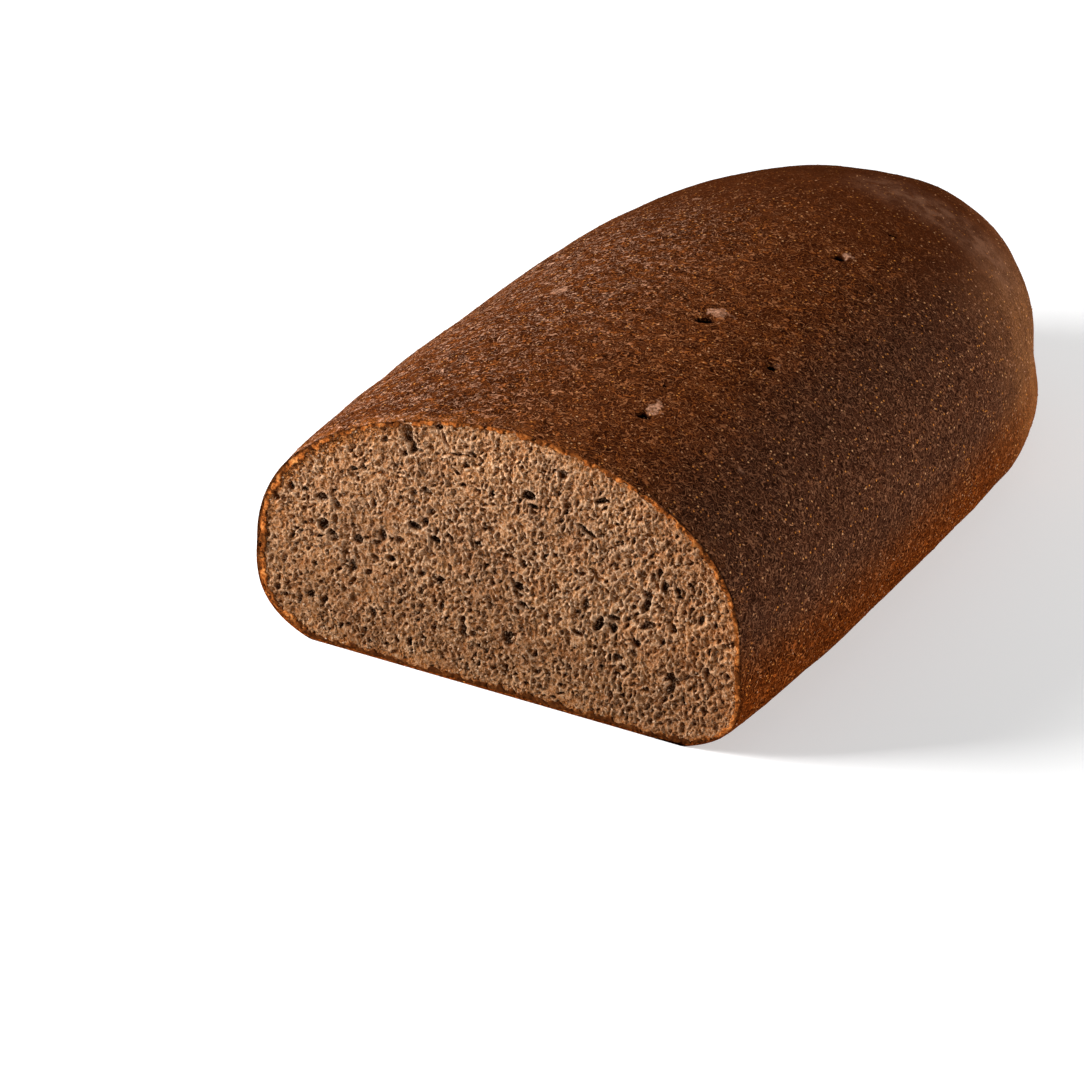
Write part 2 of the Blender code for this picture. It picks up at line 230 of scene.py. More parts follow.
# Larger holes in the crumb: x, z, half width, half height, turn in degrees, depth, in mm
HOLES = (
    (-43.3, 36.1, 1.5, 1.2, 20.0, 3.0),
    (-43.0, 29.8, 1.2, 1.3, 0.0, 2.6),
    (-40.9, 27.8, 1.2, 0.9, 0.0, 2.4),
    (-34.2, 28.1, 1.4, 1.0, 30.0, 2.4),
    (-19.5, 35.1, 1.5, 1.0, -15.0, 2.8),
    (-16.9, 36.8, 0.8, 1.1, 0.0, 2.8),
    (-14.4, 33.3, 1.3, 0.8, -20.0, 3.4),
    (9.0, 49.9, 1.5, 1.0, 0.0, 3.4),
    (10.0, 47.5, 1.1, 0.6, 0.0, 2.6),
    (23.1, 45.0, 2.5, 0.6, -28.0, 3.0),
    (26.9, 53.0, 1.6, 0.7, 10.0, 2.6),
    (-51.1, 37.1, 0.7, 0.9, 0.0, 2.4),
    (-55.1, 33.6, 0.7, 0.9, 0.0, 2.4),
    (-29.8, 38.0, 0.6, 1.1, 10.0, 2.2),
    (6.5, 27.4, 1.1, 0.9, 0.0, 2.6),
    (7.5, 23.0, 1.4, 0.8, -20.0, 2.8),
    (26.1, 23.7, 0.9, 1.9, -25.0, 3.4),
    (29.8, 23.5, 0.8, 1.1, 0.0, 2.8),
    (35.3, 21.4, 1.0, 0.9, 0.0, 2.6),
    (37.6, 31.2, 0.8, 1.5, -20.0, 3.0),
    (41.8, 36.9, 0.7, 1.3, 0.0, 2.4),
    (43.9, 27.4, 0.8, 1.1, 0.0, 2.4),
    (50.6, 31.2, 0.7, 1.1, 0.0, 2.4),
    (58.7, 38.1, 0.6, 0.9, 0.0, 2.2),
    (60.8, 20.2, 0.5, 1.2, 0.0, 2.2),
    (-34.8, 45.3, 0.9, 0.6, 0.0, 2.2),
    (-18.4, 53.7, 1.1, 0.7, 0.0, 2.6),
    (-21.7, 52.2, 0.8, 0.6, 0.0, 2.4),
    (-7.6, 55.3, 3.0, 0.35, 6.0, 1.8),
    (-25.5, 25.7, 0.9, 0.7, 0.0, 2.2),
    (-17.9, 24.0, 0.9, 0.8, 0.0, 2.2),
    (-35.9, 20.4, 0.8, 0.8, 0.0, 2.2),
    (-20.8, 57.2, 1.25, 2.5, 8.0, 2.6),
    (-21.8, 59.9, 1.2, 1.0, 10.0, 2.6),
    (-19.6, 54.2, 0.8, 1.6, -8.0, 2.6),
    (-13.0, 60.8, 1.0, 0.8, 0.0, 2.4),
    (-11.6, 58.6, 0.5, 1.6, 20.0, 1.6),
)

# Small pieces strewn on the loaf: sides, how flat, how many a square metre, smallest, largest, seed
KINDS = 5
BRAN = (5, 0.32, 110000.0, 0.13 * MM, 0.34 * MM, 5)
BRAN_TONES = ((0.09, 0.024, 0.007), (0.26, 0.082, 0.020), (0.42, 0.18, 0.070))
BITS = (5, 0.7, 300000.0, 0.10 * MM, 0.30 * MM, 9)
BITS_TONES = ((0.26, 0.125, 0.055), (0.40, 0.235, 0.130), (0.56, 0.375, 0.24))
TIPPED = 0.35

# The camera, the light and the floor. A light has its turn, height in degrees, distance, size and power
TARGET = (0.0126, -0.1027, 0.04)
CAMERA_TURN = 29.81
CAMERA_HEIGHT = 27.8
CAMERA_FAR = 0.8214
LENS = 128.75
SENSOR = 36.0
KEY_LIGHT = (-55.0, 25.0, 0.8, 0.36, 13.6)
RIM_LIGHT = (130.0, 12.0, 1.2, 0.4, 18.0)
TOP_LIGHT = (0.0, 80.0, 1.3, 0.9, 0.3)
LIT_PLACE = (0.0, 0.0, 0.03)
SKY = 0.16
FLOOR_GLOW = 0.3
FLOOR_HALF = 3.0
FLOOR_DROP = 0.05 * MM


def outline_at(z):
    """The loaf's outline at height z: half width, half length, power and sideways shift."""
    over = np.clip((z - BELLY) / CROWN, 0, 1)
    under = np.clip((BELLY - z) / FLANK, 0, 1)
    crown = (1 - over**CROWN_POWER) ** (1 / CROWN_POWER)
    flank = (1 - under**FLANK_POWER) ** (1 / FLANK_POWER)
    upper = z >= BELLY
    share = np.where(upper, crown, flank)
    draw = np.where(upper, CROWN_DRAW, FOOT_DRAW)
    down = np.clip(1 - z / BELLY, 0, 1)
    power = CROWN_PLAN_POWER + (FOOT_PLAN_POWER - CROWN_PLAN_POWER) * down**2 * (3 - 2 * down)
    half_length = np.maximum(REACH - HALF * (1 - share) * draw, TINY)
    lean = (np.hypot(over, RIDGE_EASE) - RIDGE_EASE) / (math.hypot(1, RIDGE_EASE) - RIDGE_EASE)
    return np.maximum(HALF * share, TINY), half_length, power, RIDGE_SHIFT * lean


def filled(x, from_cut, z):
    """Under 1 inside the loaf and over 1 outside it, before it rises and spreads."""
    half_width, half_length, power, shift = outline_at(z)
    across = (np.abs(x - shift) / half_width) ** power
    along = (np.abs(from_cut - WAIST) / half_length) ** power
    return np.where((z < 0) | (z > CUT_HEIGHT), OUTSIDE, across + along)


def sections(from_cut, across, up):
    """Sections at these places: base, +X, crown and -X in turn, as evenly spaced (x, z) points."""
    foot = math.atan2(BELLY, FOOT)
    corners = np.array([-math.pi + foot, -foot, *CROWN_CORNERS, math.pi + foot])
    angle = np.linspace(corners[0], corners[-1], RING_SAMPLES)
    low = np.zeros((len(from_cut), RING_SAMPLES))
    high = np.full_like(low, WIDTH)
    for _ in range(HALVINGS):
        middle = (low + high) / 2
        height = BELLY + middle * np.sin(angle)
        inside = filled(middle * np.cos(angle), from_cut[:, None], height) < 1
        low, high = np.where(inside, middle, low), np.where(inside, high, middle)
    found = []
    for x, z in zip(low * np.cos(angle), BELLY + low * np.sin(angle)):
        run = np.append(0, np.cumsum(np.hypot(np.diff(x), np.diff(z))))
        places = [np.interp(corners, angle, run)[n] for n in range(5)]
        counts = (across, up, across, up)
        even = [np.linspace(places[n], places[n + 1], counts[n] + 1)[:-1] for n in range(4)]
        even = np.concatenate(even)
        found.append(np.column_stack([np.interp(even, run, x), np.interp(even, run, z)]))
    return np.array(found)


def stations(count):
    """Where the rings lie, from the cut to where the tip's cap starts, evenly along the flank."""
    last = WAIST + REACH * (1 - TIP_SHARE**CROWN_PLAN_POWER) ** (1 / CROWN_PLAN_POWER)
    y = np.linspace(0, last, RING_SAMPLES)
    x = HALF * (1 - (np.abs(y - WAIST) / REACH) ** CROWN_PLAN_POWER) ** (1 / CROWN_PLAN_POWER)
    run = np.append(0, np.cumsum(np.hypot(np.diff(x), np.diff(y))))
    return np.interp(np.linspace(0, run[-1], count + 1), run, y)


def tip_reach(x, z):
    """How far from the cut the tip's surface is, over the point (x, z) of its cap."""
    half_width, half_length, power, shift = outline_at(z)
    across = np.clip(np.abs(x - shift) / half_width, 0, 1) ** power
    return WAIST + half_length * (1 - across) ** (1 / power)


def patch(ring, across, up):
    """Fills a section with a grid of (x, z) points, blended from its four sides."""
    ring = np.vstack([ring, ring[:1]])
    base, right = ring[: across + 1], ring[across : across + up + 1]
    crown = ring[across + up : 2 * across + up + 1][::-1]
    left = ring[2 * across + up :][::-1]
    u = np.linspace(0, 1, across + 1)[:, None, None]
    w = np.linspace(0, 1, up + 1)[None, :, None]
    ruled = (1 - w) * base[:, None] + w * crown[:, None] + (1 - u) * left[None] + u * right[None]
    corners = (1 - u) * ((1 - w) * base[0] + w * crown[0]) + u * ((1 - w) * base[-1] + w * crown[-1])
    return ruled - corners


def unevenness(points):
    """How far the crust stands out there. It fades to nothing at the base."""
    height = np.zeros(len(points))
    for wave, phase, rise in WAVES:
        height += rise * np.sin(points @ np.array(wave) + phase)
    for spot, radius, depth in DENTS:
        away = np.linalg.norm(points - np.array(spot) * MM, axis=1) / (radius * MM)
        height -= depth * MM * np.exp(-away * away)
    return height * np.clip(points[:, 2] / BASE_FADE, 0, 1)


def settle(points):
    """Puts points of the plain form where the loaf has them, wider and higher to the whole end."""
    share = points[:, 1] / LENGTH
    x = points[:, 0] * (1 + SPREAD * (share - SPREAD_FROM))
    z = np.maximum(points[:, 2] * (1 + RISE * share), 0)
    placed = np.column_stack([x, points[:, 1] - LENGTH / 2, z])
    core = np.column_stack([0 * x, np.minimum(placed[:, 1], LENGTH / 2 - HALF), 0 * x + BELLY])
    away = placed - core
    far = np.linalg.norm(away, axis=1)
    outward = away / np.maximum(far, TINY)[:, None] * np.minimum(1, far / BELLY)[:, None]
    return placed + outward * unevenness(placed)[:, None]


def numbered(cells):
    """A number from 0 to DICE - 1 for each cell of space, always the same for the same cell."""
    x, y, z = (cells[:, axis] * prime for axis, prime in enumerate(PRIMES))
    return (x ^ y ^ z) & (DICE - 1)


def grain(points, size, seed):
    """Smooth random heights from -1 to 1 over points, with features of about that size."""
    table = np.random.default_rng(seed).uniform(-1, 1, DICE)
    cells = points / size
    low = np.floor(cells).astype(np.int64)
    part = cells - low
    ease = part * part * (3 - 2 * part)
    total = np.zeros(len(points))
    for corner in product((0, 1), repeat=3):
        weight = np.prod(np.where(np.array(corner) == 1, ease, 1 - ease), axis=1)
        total += weight * table[numbered(low + np.array(corner))]
    return total


def smooth_step(low, high, value):
    """0 below low, 1 over high, and an even rise between them. low may be the larger."""
    share = np.clip((value - low) / (high - low), 0, 1)
    return share * share * (3 - 2 * share)


def sheet_faces(index):
    """Four-sided faces between the points of a grid of point numbers."""
    corners = (index[:-1, :-1], index[1:, :-1], index[1:, 1:], index[:-1, 1:])
    return np.stack(corners, axis=-1).reshape(-1, 4)


def sheet_map(shape, corner, size):
    """Where the corners of a grid's faces lie on the flat map, in the order of sheet_faces."""
    u = corner[0] + size[0] * np.linspace(0, 1, shape[0])
    v = corner[1] + size[1] * np.linspace(0, 1, shape[1])
    grid = np.stack(np.meshgrid(u, v, indexing="ij"), axis=-1)
    corners = (grid[:-1, :-1], grid[1:, :-1], grid[1:, 1:], grid[:-1, 1:])
    return np.stack(corners, axis=-2).reshape(-1, 4, 2)


def new_mesh(name, points, sheets, caps):
    """A closed mesh of sheets of four-sided faces and flat many-sided caps."""
    corners = [sheet_faces(index).ravel() for index, _ in sheets]
    counts = [np.full(len(part) // 4, 4) for part in corners]
    flat = [sheet_map(index.shape, *place).reshape(-1, 2) for index, place in sheets]
    for loop, (middle, span), axes in caps:
        corners.append(loop)
        counts.append([len(loop)])
        spots = points[loop][:, axes]
        lowest, highest = spots.min(0), spots.max(0)
        flat.append(middle + (spots - (lowest + highest) / 2) / (highest - lowest).max() * span)
    corners, counts = np.concatenate(corners), np.concatenate(counts)
    mesh = bpy.data.meshes.new(name)
    mesh.vertices.add(len(points))
    mesh.vertices.foreach_set("co", points.ravel())
    mesh.loops.add(len(corners))
    mesh.loops.foreach_set("vertex_index", corners)
    mesh.polygons.add(len(counts))
    mesh.polygons.foreach_set("loop_start", np.append(0, np.cumsum(counts)[:-1]))
    mesh.polygons.foreach_set("use_smooth", np.full(len(counts), True))
    mesh.update(calc_edges=True)
    mesh.uv_layers.new(name="OFBake").data.foreach_set("uv", np.concatenate(flat).ravel())
    mesh.validate()
    return mesh


def new_object(name, mesh):
    made = bpy.data.objects.new(name, mesh)
    bpy.context.scene.collection.objects.link(made)
    return made


def get_points(mesh):
    flat = np.empty(len(mesh.vertices) * 3)
    mesh.vertices.foreach_get("co", flat)
    return flat.reshape(-1, 3)


def set_points(mesh, points):
    mesh.vertices.foreach_set("co", points.ravel())
    mesh.update()


def get_normals(mesh):
    flat = np.empty(len(mesh.vertices) * 3)
    mesh.vertex_normals.foreach_get("vector", flat)
    return flat.reshape(-1, 3)


def set_layer(mesh, name, values):
    layer = mesh.attributes.get(name) or mesh.attributes.new(name, "FLOAT", "POINT")
    layer.data.foreach_set("value", np.asarray(values, dtype=np.float32))


def get_layer(mesh, name):
    flat = np.empty(len(mesh.vertices), dtype=np.float32)
    mesh.attributes[name].data.foreach_get("value", flat)
    return flat


def inward(loop):
    """Unit vectors that point into a closed loop of (x, z) points."""
    along = np.roll(loop, -1, axis=0) - np.roll(loop, 1, axis=0)
    return np.column_stack([-along[:, 1], along[:, 0]]) / np.linalg.norm(along, axis=1)[:, None]


def layered(points, layers):
    """Random heights over points, summed from layers of size, share and seed."""
    return sum(share * grain(points, size, seed) for size, share, seed in layers)


def on_cut(x, z):
    """Points (x, z) of the cut as points of space, with no y yet."""
    return np.column_stack([x, 0 * x, z])


def rim_thickness(loop):
    """How thick the crust is at each point of the cut's edge. It is uneven, as baked crust is."""
    spots = on_cut(loop[:, 0], loop[:, 1])
    left = THICKER_LEFT * smooth_step(-35 * MM, -58 * MM, loop[:, 0])
    return CRUST_THICK * (1 + left + layered(spots, THICK_NOISE))


def crust_lift(points):
    """How far the crust's small lumps stand out, fading to nothing at the base."""
    return layered(points, LUMPS) * np.clip(points[:, 2] / BASE_FADE, 0, 1)


def cut_outline(across, up):
    """The edge of the cut as a closed loop of (x, z) points, its small lumps included."""
    ring = sections(np.array([0.0]), across, up)[0]
    points = to_row(settle(on_cut(ring[:, 0], ring[:, 1])))
    loop = points[:, [0, 2]] - inward(points[:, [0, 2]]) * crust_lift(points)[:, None]
    loop[:, 1] = np.maximum(loop[:, 1], 0.0)
    return loop


def to_row(points):
    """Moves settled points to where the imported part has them."""
    low, high = SOLID_X
    shift = np.array([(CAD_BOX[0].x + CAD_BOX[1].x) / 2 - (low + high) / 2, 0, 0])
    shift[1] = CAD_BOX[0].y + LENGTH / 2
    return points + shift


def crust_points():
    """The crust's points, and the numbers of those on its skin, its tip's cap, and its rim."""
    reaches = stations(STATIONS)
    rings = sections(reaches, ACROSS, UP)
    skin_count = 2 * UP + ACROSS + 1
    around = (ACROSS + np.arange(skin_count)) % rings.shape[1]
    skin = np.arange((STATIONS + 1) * skin_count).reshape(STATIONS + 1, skin_count)
    x, z = rings[:, around, 0], rings[:, around, 1]
    parts = [np.stack([x, np.repeat(reaches[:, None], skin_count, 1), z], -1).reshape(-1, 3)]
    count = skin.size

    base_lines = []
    for ring, y in ((rings[0], 0.0), (rings[-1], reaches[-1])):
        line = ring[1:ACROSS]
        parts.append(np.column_stack([line[:, 0], np.full(len(line), y), line[:, 1]]))
        base_lines.append(np.arange(count, count + len(line)))
        count += len(line)

    grid = patch(rings[-1], ACROSS, UP)
    cap = np.empty((ACROSS + 1, UP + 1), dtype=int)
    cap[:, 0] = np.concatenate([[skin[-1, -1]], base_lines[1], [skin[-1, 0]]])
    cap[-1, :] = skin[-1, : UP + 1]
    cap[:, -1] = skin[-1, UP : UP + ACROSS + 1][::-1]
    cap[0, :] = skin[-1, UP + ACROSS :][::-1]
    inner = grid[1:-1, 1:-1].reshape(-1, 2)
    reach = tip_reach(inner[:, 0], np.maximum(inner[:, 1], 0))
    parts.append(np.column_stack([inner[:, 0], reach, inner[:, 1]]))
    cap[1:-1, 1:-1] = np.arange(count, count + len(inner)).reshape(ACROSS - 1, UP - 1)
    rim = np.concatenate([[skin[0, -1]], base_lines[0], skin[0, :-1]])
    foot = np.concatenate([skin[:, 0], base_lines[1][::-1], skin[::-1, -1], base_lines[0]])
    return np.vstack(parts), skin, cap, rim, foot


def crust_blank():
    """The crust as a closed mesh, before its relief: skin, tip, a ledge at the cut and a wall."""
    plain, skin, cap, rim, foot = crust_points()
    settled = to_row(settle(plain))
    outer = settled[rim][:, [0, 2]]
    into = inward(outer)
    rows, loops, count = [], [rim], len(settled)
    cut = settled[rim][:, 1]
    for inset, depth in ((LIP * CRUST_THICK, LEDGE), (CRUST_THICK, LEDGE), (CRUST_THICK, WALL)):
        line = outer + into * inset
        line[:, 1] = np.maximum(line[:, 1], TINY)
        rows.append(np.column_stack([line[:, 0], cut + depth, line[:, 1]]))
        loops.append(np.arange(count, count + len(rim)))
        count += len(rim)
    loops = np.array(loops)
    loops = np.hstack([loops, loops[:, :1]])
    points = np.vstack([settled, *rows])
    sheets = [
        (skin, ((0.0, 0.0), (0.72, 0.8))),
        (cap[::-1], ((0.5, 0.82), (0.27, 0.17))),
        (loops[::-1], ((0.83, 0.0), (0.12, 0.8))),
    ]
    caps = [
        (foot[::-1], ((0.24, 0.91), 0.17), [1, 0]),
        (loops[-1, :-1], ((0.90, 0.91), 0.16), [0, 2]),
    ]
    mesh = new_mesh("crust", points, sheets, caps)
    set_layer(mesh, "hidden", np.arange(len(points)) >= len(settled))
    return mesh


def split_near(mesh, spots, radius):
    """Splits the faces round some places of the crust's top, for their small relief."""
    bm = bmesh.new()
    bm.from_mesh(mesh)
    spots = np.array(spots) * MM
    near = []
    for edge in bm.edges:
        middle = (edge.verts[0].co + edge.verts[1].co) / 2
        if middle.z < BELLY or middle.y < CAD_BOX[0].y + KEPT_WHOLE:
            continue
        if np.hypot(spots[:, 0] - middle.x, spots[:, 1] - middle.y).min() < radius:
            near.append(edge)
    bmesh.ops.subdivide_edges(bm, edges=near, cuts=1, use_grid_fill=True)
    bm.to_mesh(mesh)
    bm.free()


def prick_shape(points):
    """How deep the pricks are at each point, in metres, and how much of a hole it is, 0 to 1."""
    depth, hole = np.zeros(len(points)), np.zeros(len(points))
    upper = points[:, 2] > BELLY
    wobble = 1 + layered(points, PRICK_NOISE)
    for x, y, half_long, half_wide, turn, deep in PRICKS:
        turn = math.radians(turn)
        dx, dy = points[:, 0] - x * MM, points[:, 1] - y * MM
        along = (dx * math.cos(turn) + dy * math.sin(turn)) / (half_long * MM)
        side = (dy * math.cos(turn) - dx * math.sin(turn)) / (half_wide * MM)
        away = np.hypot(along, side) * wobble
        inside = smooth_step(1.25, 0.65, away) * upper
        hole = np.maximum(hole, inside)
        depth = np.maximum(depth, deep * MM * inside)
        depth = np.maximum(depth, DIMPLE * smooth_step(2.6, 1.0, away) * upper)
    return depth, hole


def torn_shape(points):
    """How torn and pale the crust is at each point, 0 to 1."""
    torn = np.zeros(len(points))
    upper = points[:, 2] > BELLY
    wobble = 1 + layered(points, TORN_NOISE)
    for x, y, wide, tall, strength in TORN:
        away = np.hypot((points[:, 0] - x * MM) / (wide * MM), (points[:, 1] - y * MM) / (tall * MM))
        torn = np.maximum(torn, strength * smooth_step(1.15, 0.35, away * wobble) * upper)
    return torn


def make_crust():
    """The crust with its lumps, its pricks and its torn places."""
    mesh = crust_blank()
    marks = [row[:2] for row in PRICKS[:SPLIT_PRICKS]]
    for radius in SPLIT_RADII:
        split_near(mesh, marks, radius)
    points, normals = get_points(mesh), get_normals(mesh)
    hidden = get_layer(mesh, "hidden")
    depth, hole = prick_shape(points)
    torn = torn_shape(points)
    lift = crust_lift(points) + TORN_LUMPS * torn * grain(points, 0.8 * MM, 47) - depth
    at_cut = smooth_step(2.5 * MM, 0.0, points[:, 1] - CAD_BOX[0].y) * (1 - hidden)
    normals[:, 1] *= 1 - at_cut
    points += normals * (lift * (1 - hidden))[:, None]
    set_points(mesh, points)
    set_layer(mesh, "torn", torn)
    set_layer(mesh, "hole", hole)
    bare = smooth_step(0, 70 * MM, points[:, 1]) * smooth_step(45 * MM, 60 * MM, points[:, 2])
    room = smooth_step(1.5 * MM, 5 * MM, points[:, 2]) * (1 - BARE_CROWN * bare)
    set_layer(mesh, "room", (1 - hidden) * (1 - np.clip(hole, 0, 1)) * room)
    return new_object("crust", mesh)


def rim_relief(line, share):
    """How far the edge is broken back, share of the way in from the skin, and its nicks there."""
    here = np.column_stack([line[:, 0], np.full(len(line), share * MM), line[:, 1]])
    ragged = RAGGED_MIDDLE + layered(here, RAGGED_NOISE)
    nick = smooth_step(0.42, 0.7, grain(here, 1.2 * MM, 53))
    for x, wide in RIM_NOTCHES:
        notch = smooth_step(wide, 0.5 * wide, np.abs(line[:, 0] / MM - x)) * (line[:, 1] > BELLY)
        nick = np.maximum(nick, notch * share * NOTCH_DEPTH / NICK_DEPTH)
    return RIM_RAGGED * ragged + NICK_DEPTH * nick + RIM_ROUND * (1 - share) ** 4, nick


def make_rim():
    """The crust's edge where the loaf was cut: a ragged ring of toasted crust with small nicks."""
    outer = cut_outline(RIM_ACROSS, RIM_UP)
    into, thick = inward(outer), rim_thickness(outer)
    rows = [(RIM_UNDER_SKIN * 4, RIM_BACK, None), (RIM_UNDER_SKIN * 1.5, LEDGE, None)]
    for k in range(RIM_ROWS):
        share = k / (RIM_ROWS - 1)
        rows.append((RIM_UNDER_SKIN + (thick - RIM_UNDER_SKIN) * share, 0.0, share))
    rows.append((thick * RIM_NARROWED, RIM_BACK, None))
    points, nicks, shares = [], [], []
    for inset, depth, share in rows:
        line = outer + into * np.reshape(inset, (-1, 1))
        line[:, 1] = np.maximum(line[:, 1], TINY)
        back, nick = (depth, 0.0) if share is None else rim_relief(line, share)
        y = np.broadcast_to(CAD_BOX[0].y + back, len(line))
        points.append(np.column_stack([line[:, 0], y, line[:, 1]]))
        nicks.append(np.broadcast_to(nick, len(line)))
        shares.append(np.full(len(line), share or 0.0))
    index = np.arange(len(rows) * len(outer)).reshape(len(rows), -1)
    index = np.vstack([index, index[:1]])
    index = np.hstack([index, index[:, :1]])
    mesh = new_mesh("crust_rim", np.vstack(points), [(index[::-1], ((0.02, 0.02), (0.96, 0.96)))], [])
    set_layer(mesh, "nick", np.concatenate(nicks))
    set_layer(mesh, "share", np.concatenate(shares))
    return new_object("crust_rim", mesh)


def rim_grid(outline):
    """How far the points of a coarse grid are from the cut's outline, in metres."""
    columns = int(RASTER_SIZE[0] * RASTER / COARSE) + 1
    rows = int(RASTER_SIZE[1] * RASTER / COARSE) + 2
    spots = np.stack(np.meshgrid(np.arange(columns), np.arange(rows), indexing="ij"), -1)
    spots = spots.reshape(-1, 2) * COARSE + np.array([RASTER_LEFT, 0.0])
    nearest = np.full(len(spots), WIDTH)
    for part in np.array_split(outline, 12):
        gap = np.hypot(spots[:, 0, None] - part[:, 0], spots[:, 1, None] - part[:, 1]).min(1)
        nearest = np.minimum(nearest, gap)
    return nearest.reshape(columns, rows)


def rim_distance(grid, x, z):
    """How far points are from the cut's outline, in metres."""
    return read_grid(grid, (x - RASTER_LEFT) / COARSE, z / COARSE)


def read_grid(grid, column, row):
    """Reads a grid between its points."""
    i = np.clip(column.astype(int), 0, grid.shape[0] - 2)
    k = np.clip(row.astype(int), 0, grid.shape[1] - 2)
    s, t = np.clip(column - i, 0, 1), np.clip(row - k, 0, 1)
    low = grid[i, k] * (1 - t) + grid[i, k + 1] * t
    high = grid[i + 1, k] * (1 - t) + grid[i + 1, k + 1] * t
    return low * (1 - s) + high * s


def bubbles(rim_gaps):
    """Gas bubbles of the crumb, as rows of x, z, half sizes, turn, middle and depth, in mm."""
    dice = np.random.default_rng(11)
    width, height = RASTER_SIZE[0] * RASTER / MM, RASTER_SIZE[1] * RASTER / MM
    count = int(BUBBLES_PER_MM3 * width * height * (BUBBLE_SLAB[1] - BUBBLE_SLAB[0]))
    x = dice.uniform(0, width, count) + RASTER_LEFT / MM
    z = dice.uniform(0, height, count)
    middle = dice.uniform(*BUBBLE_SLAB, count)
    radius = BUBBLE_MIDDLE * np.exp(BUBBLE_SPREAD * dice.normal(size=count))
    radius = np.clip(radius, *BUBBLE_LIMITS)
    spots = on_cut(x, z) * MM
    radius *= 1 + layered(spots, BUBBLE_PATCHES)
    edge = rim_distance(rim_gaps, x * MM, z * MM) / MM
    radius *= BUBBLE_AT_RIM + (1 - BUBBLE_AT_RIM) * smooth_step(1.0, 7.0, edge)
    long = 1 + BUBBLE_LONG * dice.uniform(size=count) ** BUBBLE_LONG_POWER
    turn = layered(spots, BUBBLE_TURNS) + dice.normal(size=count) * BUBBLE_TURN_SPREAD + math.pi / 2
    slope = np.gradient(rim_gaps)
    slope_x = rim_distance(slope[0], x * MM, z * MM)
    slope_z = rim_distance(slope[1], x * MM, z * MM)
    along_rim = np.arctan2(slope_x, -slope_z)
    rim_turn = along_rim + RIM_TURN_SPREAD * dice.normal(size=count)
    turn = np.where(edge < RIM_TURN_REACH, rim_turn, turn)
    return np.column_stack([x, z, radius * long, radius / long**0.6, turn, middle, radius])


def foam(spots, size, seed):
    """Foam cells of about size: how far each spot is from a wall, and two dice, cell and wall."""
    dice = np.random.default_rng(seed)
    jitter = dice.uniform(0.05, 0.95, (DICE, 3))
    toss = dice.uniform(size=DICE)
    places = spots / size
    low = np.floor(places).astype(np.int64)
    first, second = np.full(len(spots), 9.0), np.full(len(spots), 9.0)
    cell, other = np.zeros(len(spots), np.int64), np.zeros(len(spots), np.int64)
    for step in product((-1, 0, 1), repeat=3):
        at = low + np.array(step)
        name = numbered(at)
        gap = np.linalg.norm(places - at - jitter[name], axis=1)
        nearer, next_one = gap < first, (gap >= first) & (gap < second)
        second = np.where(nearer, first, np.where(next_one, gap, second))
        other = np.where(nearer, cell, np.where(next_one, name, other))
        first, cell = np.where(nearer, gap, first), np.where(nearer, name, cell)
    wall = (cell * other + cell + other) & (DICE - 1)
    return (second - first) * size / 2, toss[cell], toss[wall]


def carve(depth, cell, wall):
    """Opens one cell in the raster of depths, where its near side lies within reach of the cut."""
    x, z, half_long, half_short, turn, middle, deep = cell
    scale = MM / RASTER
    column, row = (x - RASTER_LEFT / MM) * scale, z * scale
    reach = max(half_long, half_short) * scale
    i0, i1 = max(int(column - reach), 0), min(int(column + reach) + 2, depth.shape[0])
    k0, k1 = max(int(row - reach), 0), min(int(row + reach) + 2, depth.shape[1])
    if i0 >= i1 or k0 >= k1:
        return
    dx = (np.arange(i0, i1) - column)[:, None] / scale
    dz = (np.arange(k0, k1) - row)[None, :] / scale
    cos, sin = math.cos(turn), math.sin(turn)
    away = ((dx * cos + dz * sin) / half_long) ** 2 + ((dz * cos - dx * sin) / half_short) ** 2
    half = deep * np.sqrt(np.clip(1 - away, 0, 1))
    window = depth[i0:i1, k0:k1]
    opened = (away < 1) & (middle - half <= window + wall)
    np.maximum(window, middle + half, out=window, where=opened)


def spread(grid, reach):
    """The mean of a grid within reach steps of each point, both ways."""
    for axis in (0, 1):
        count = grid.shape[axis]
        edges = [(reach + 1, reach) if turn == axis else (0, 0) for turn in (0, 1)]
        total = np.cumsum(np.pad(grid, edges, mode="edge"), axis)
        high = total.take(range(2 * reach + 1, 2 * reach + 1 + count), axis)
        grid = (high - total.take(range(count), axis)) / (2 * reach + 1)
    return grid


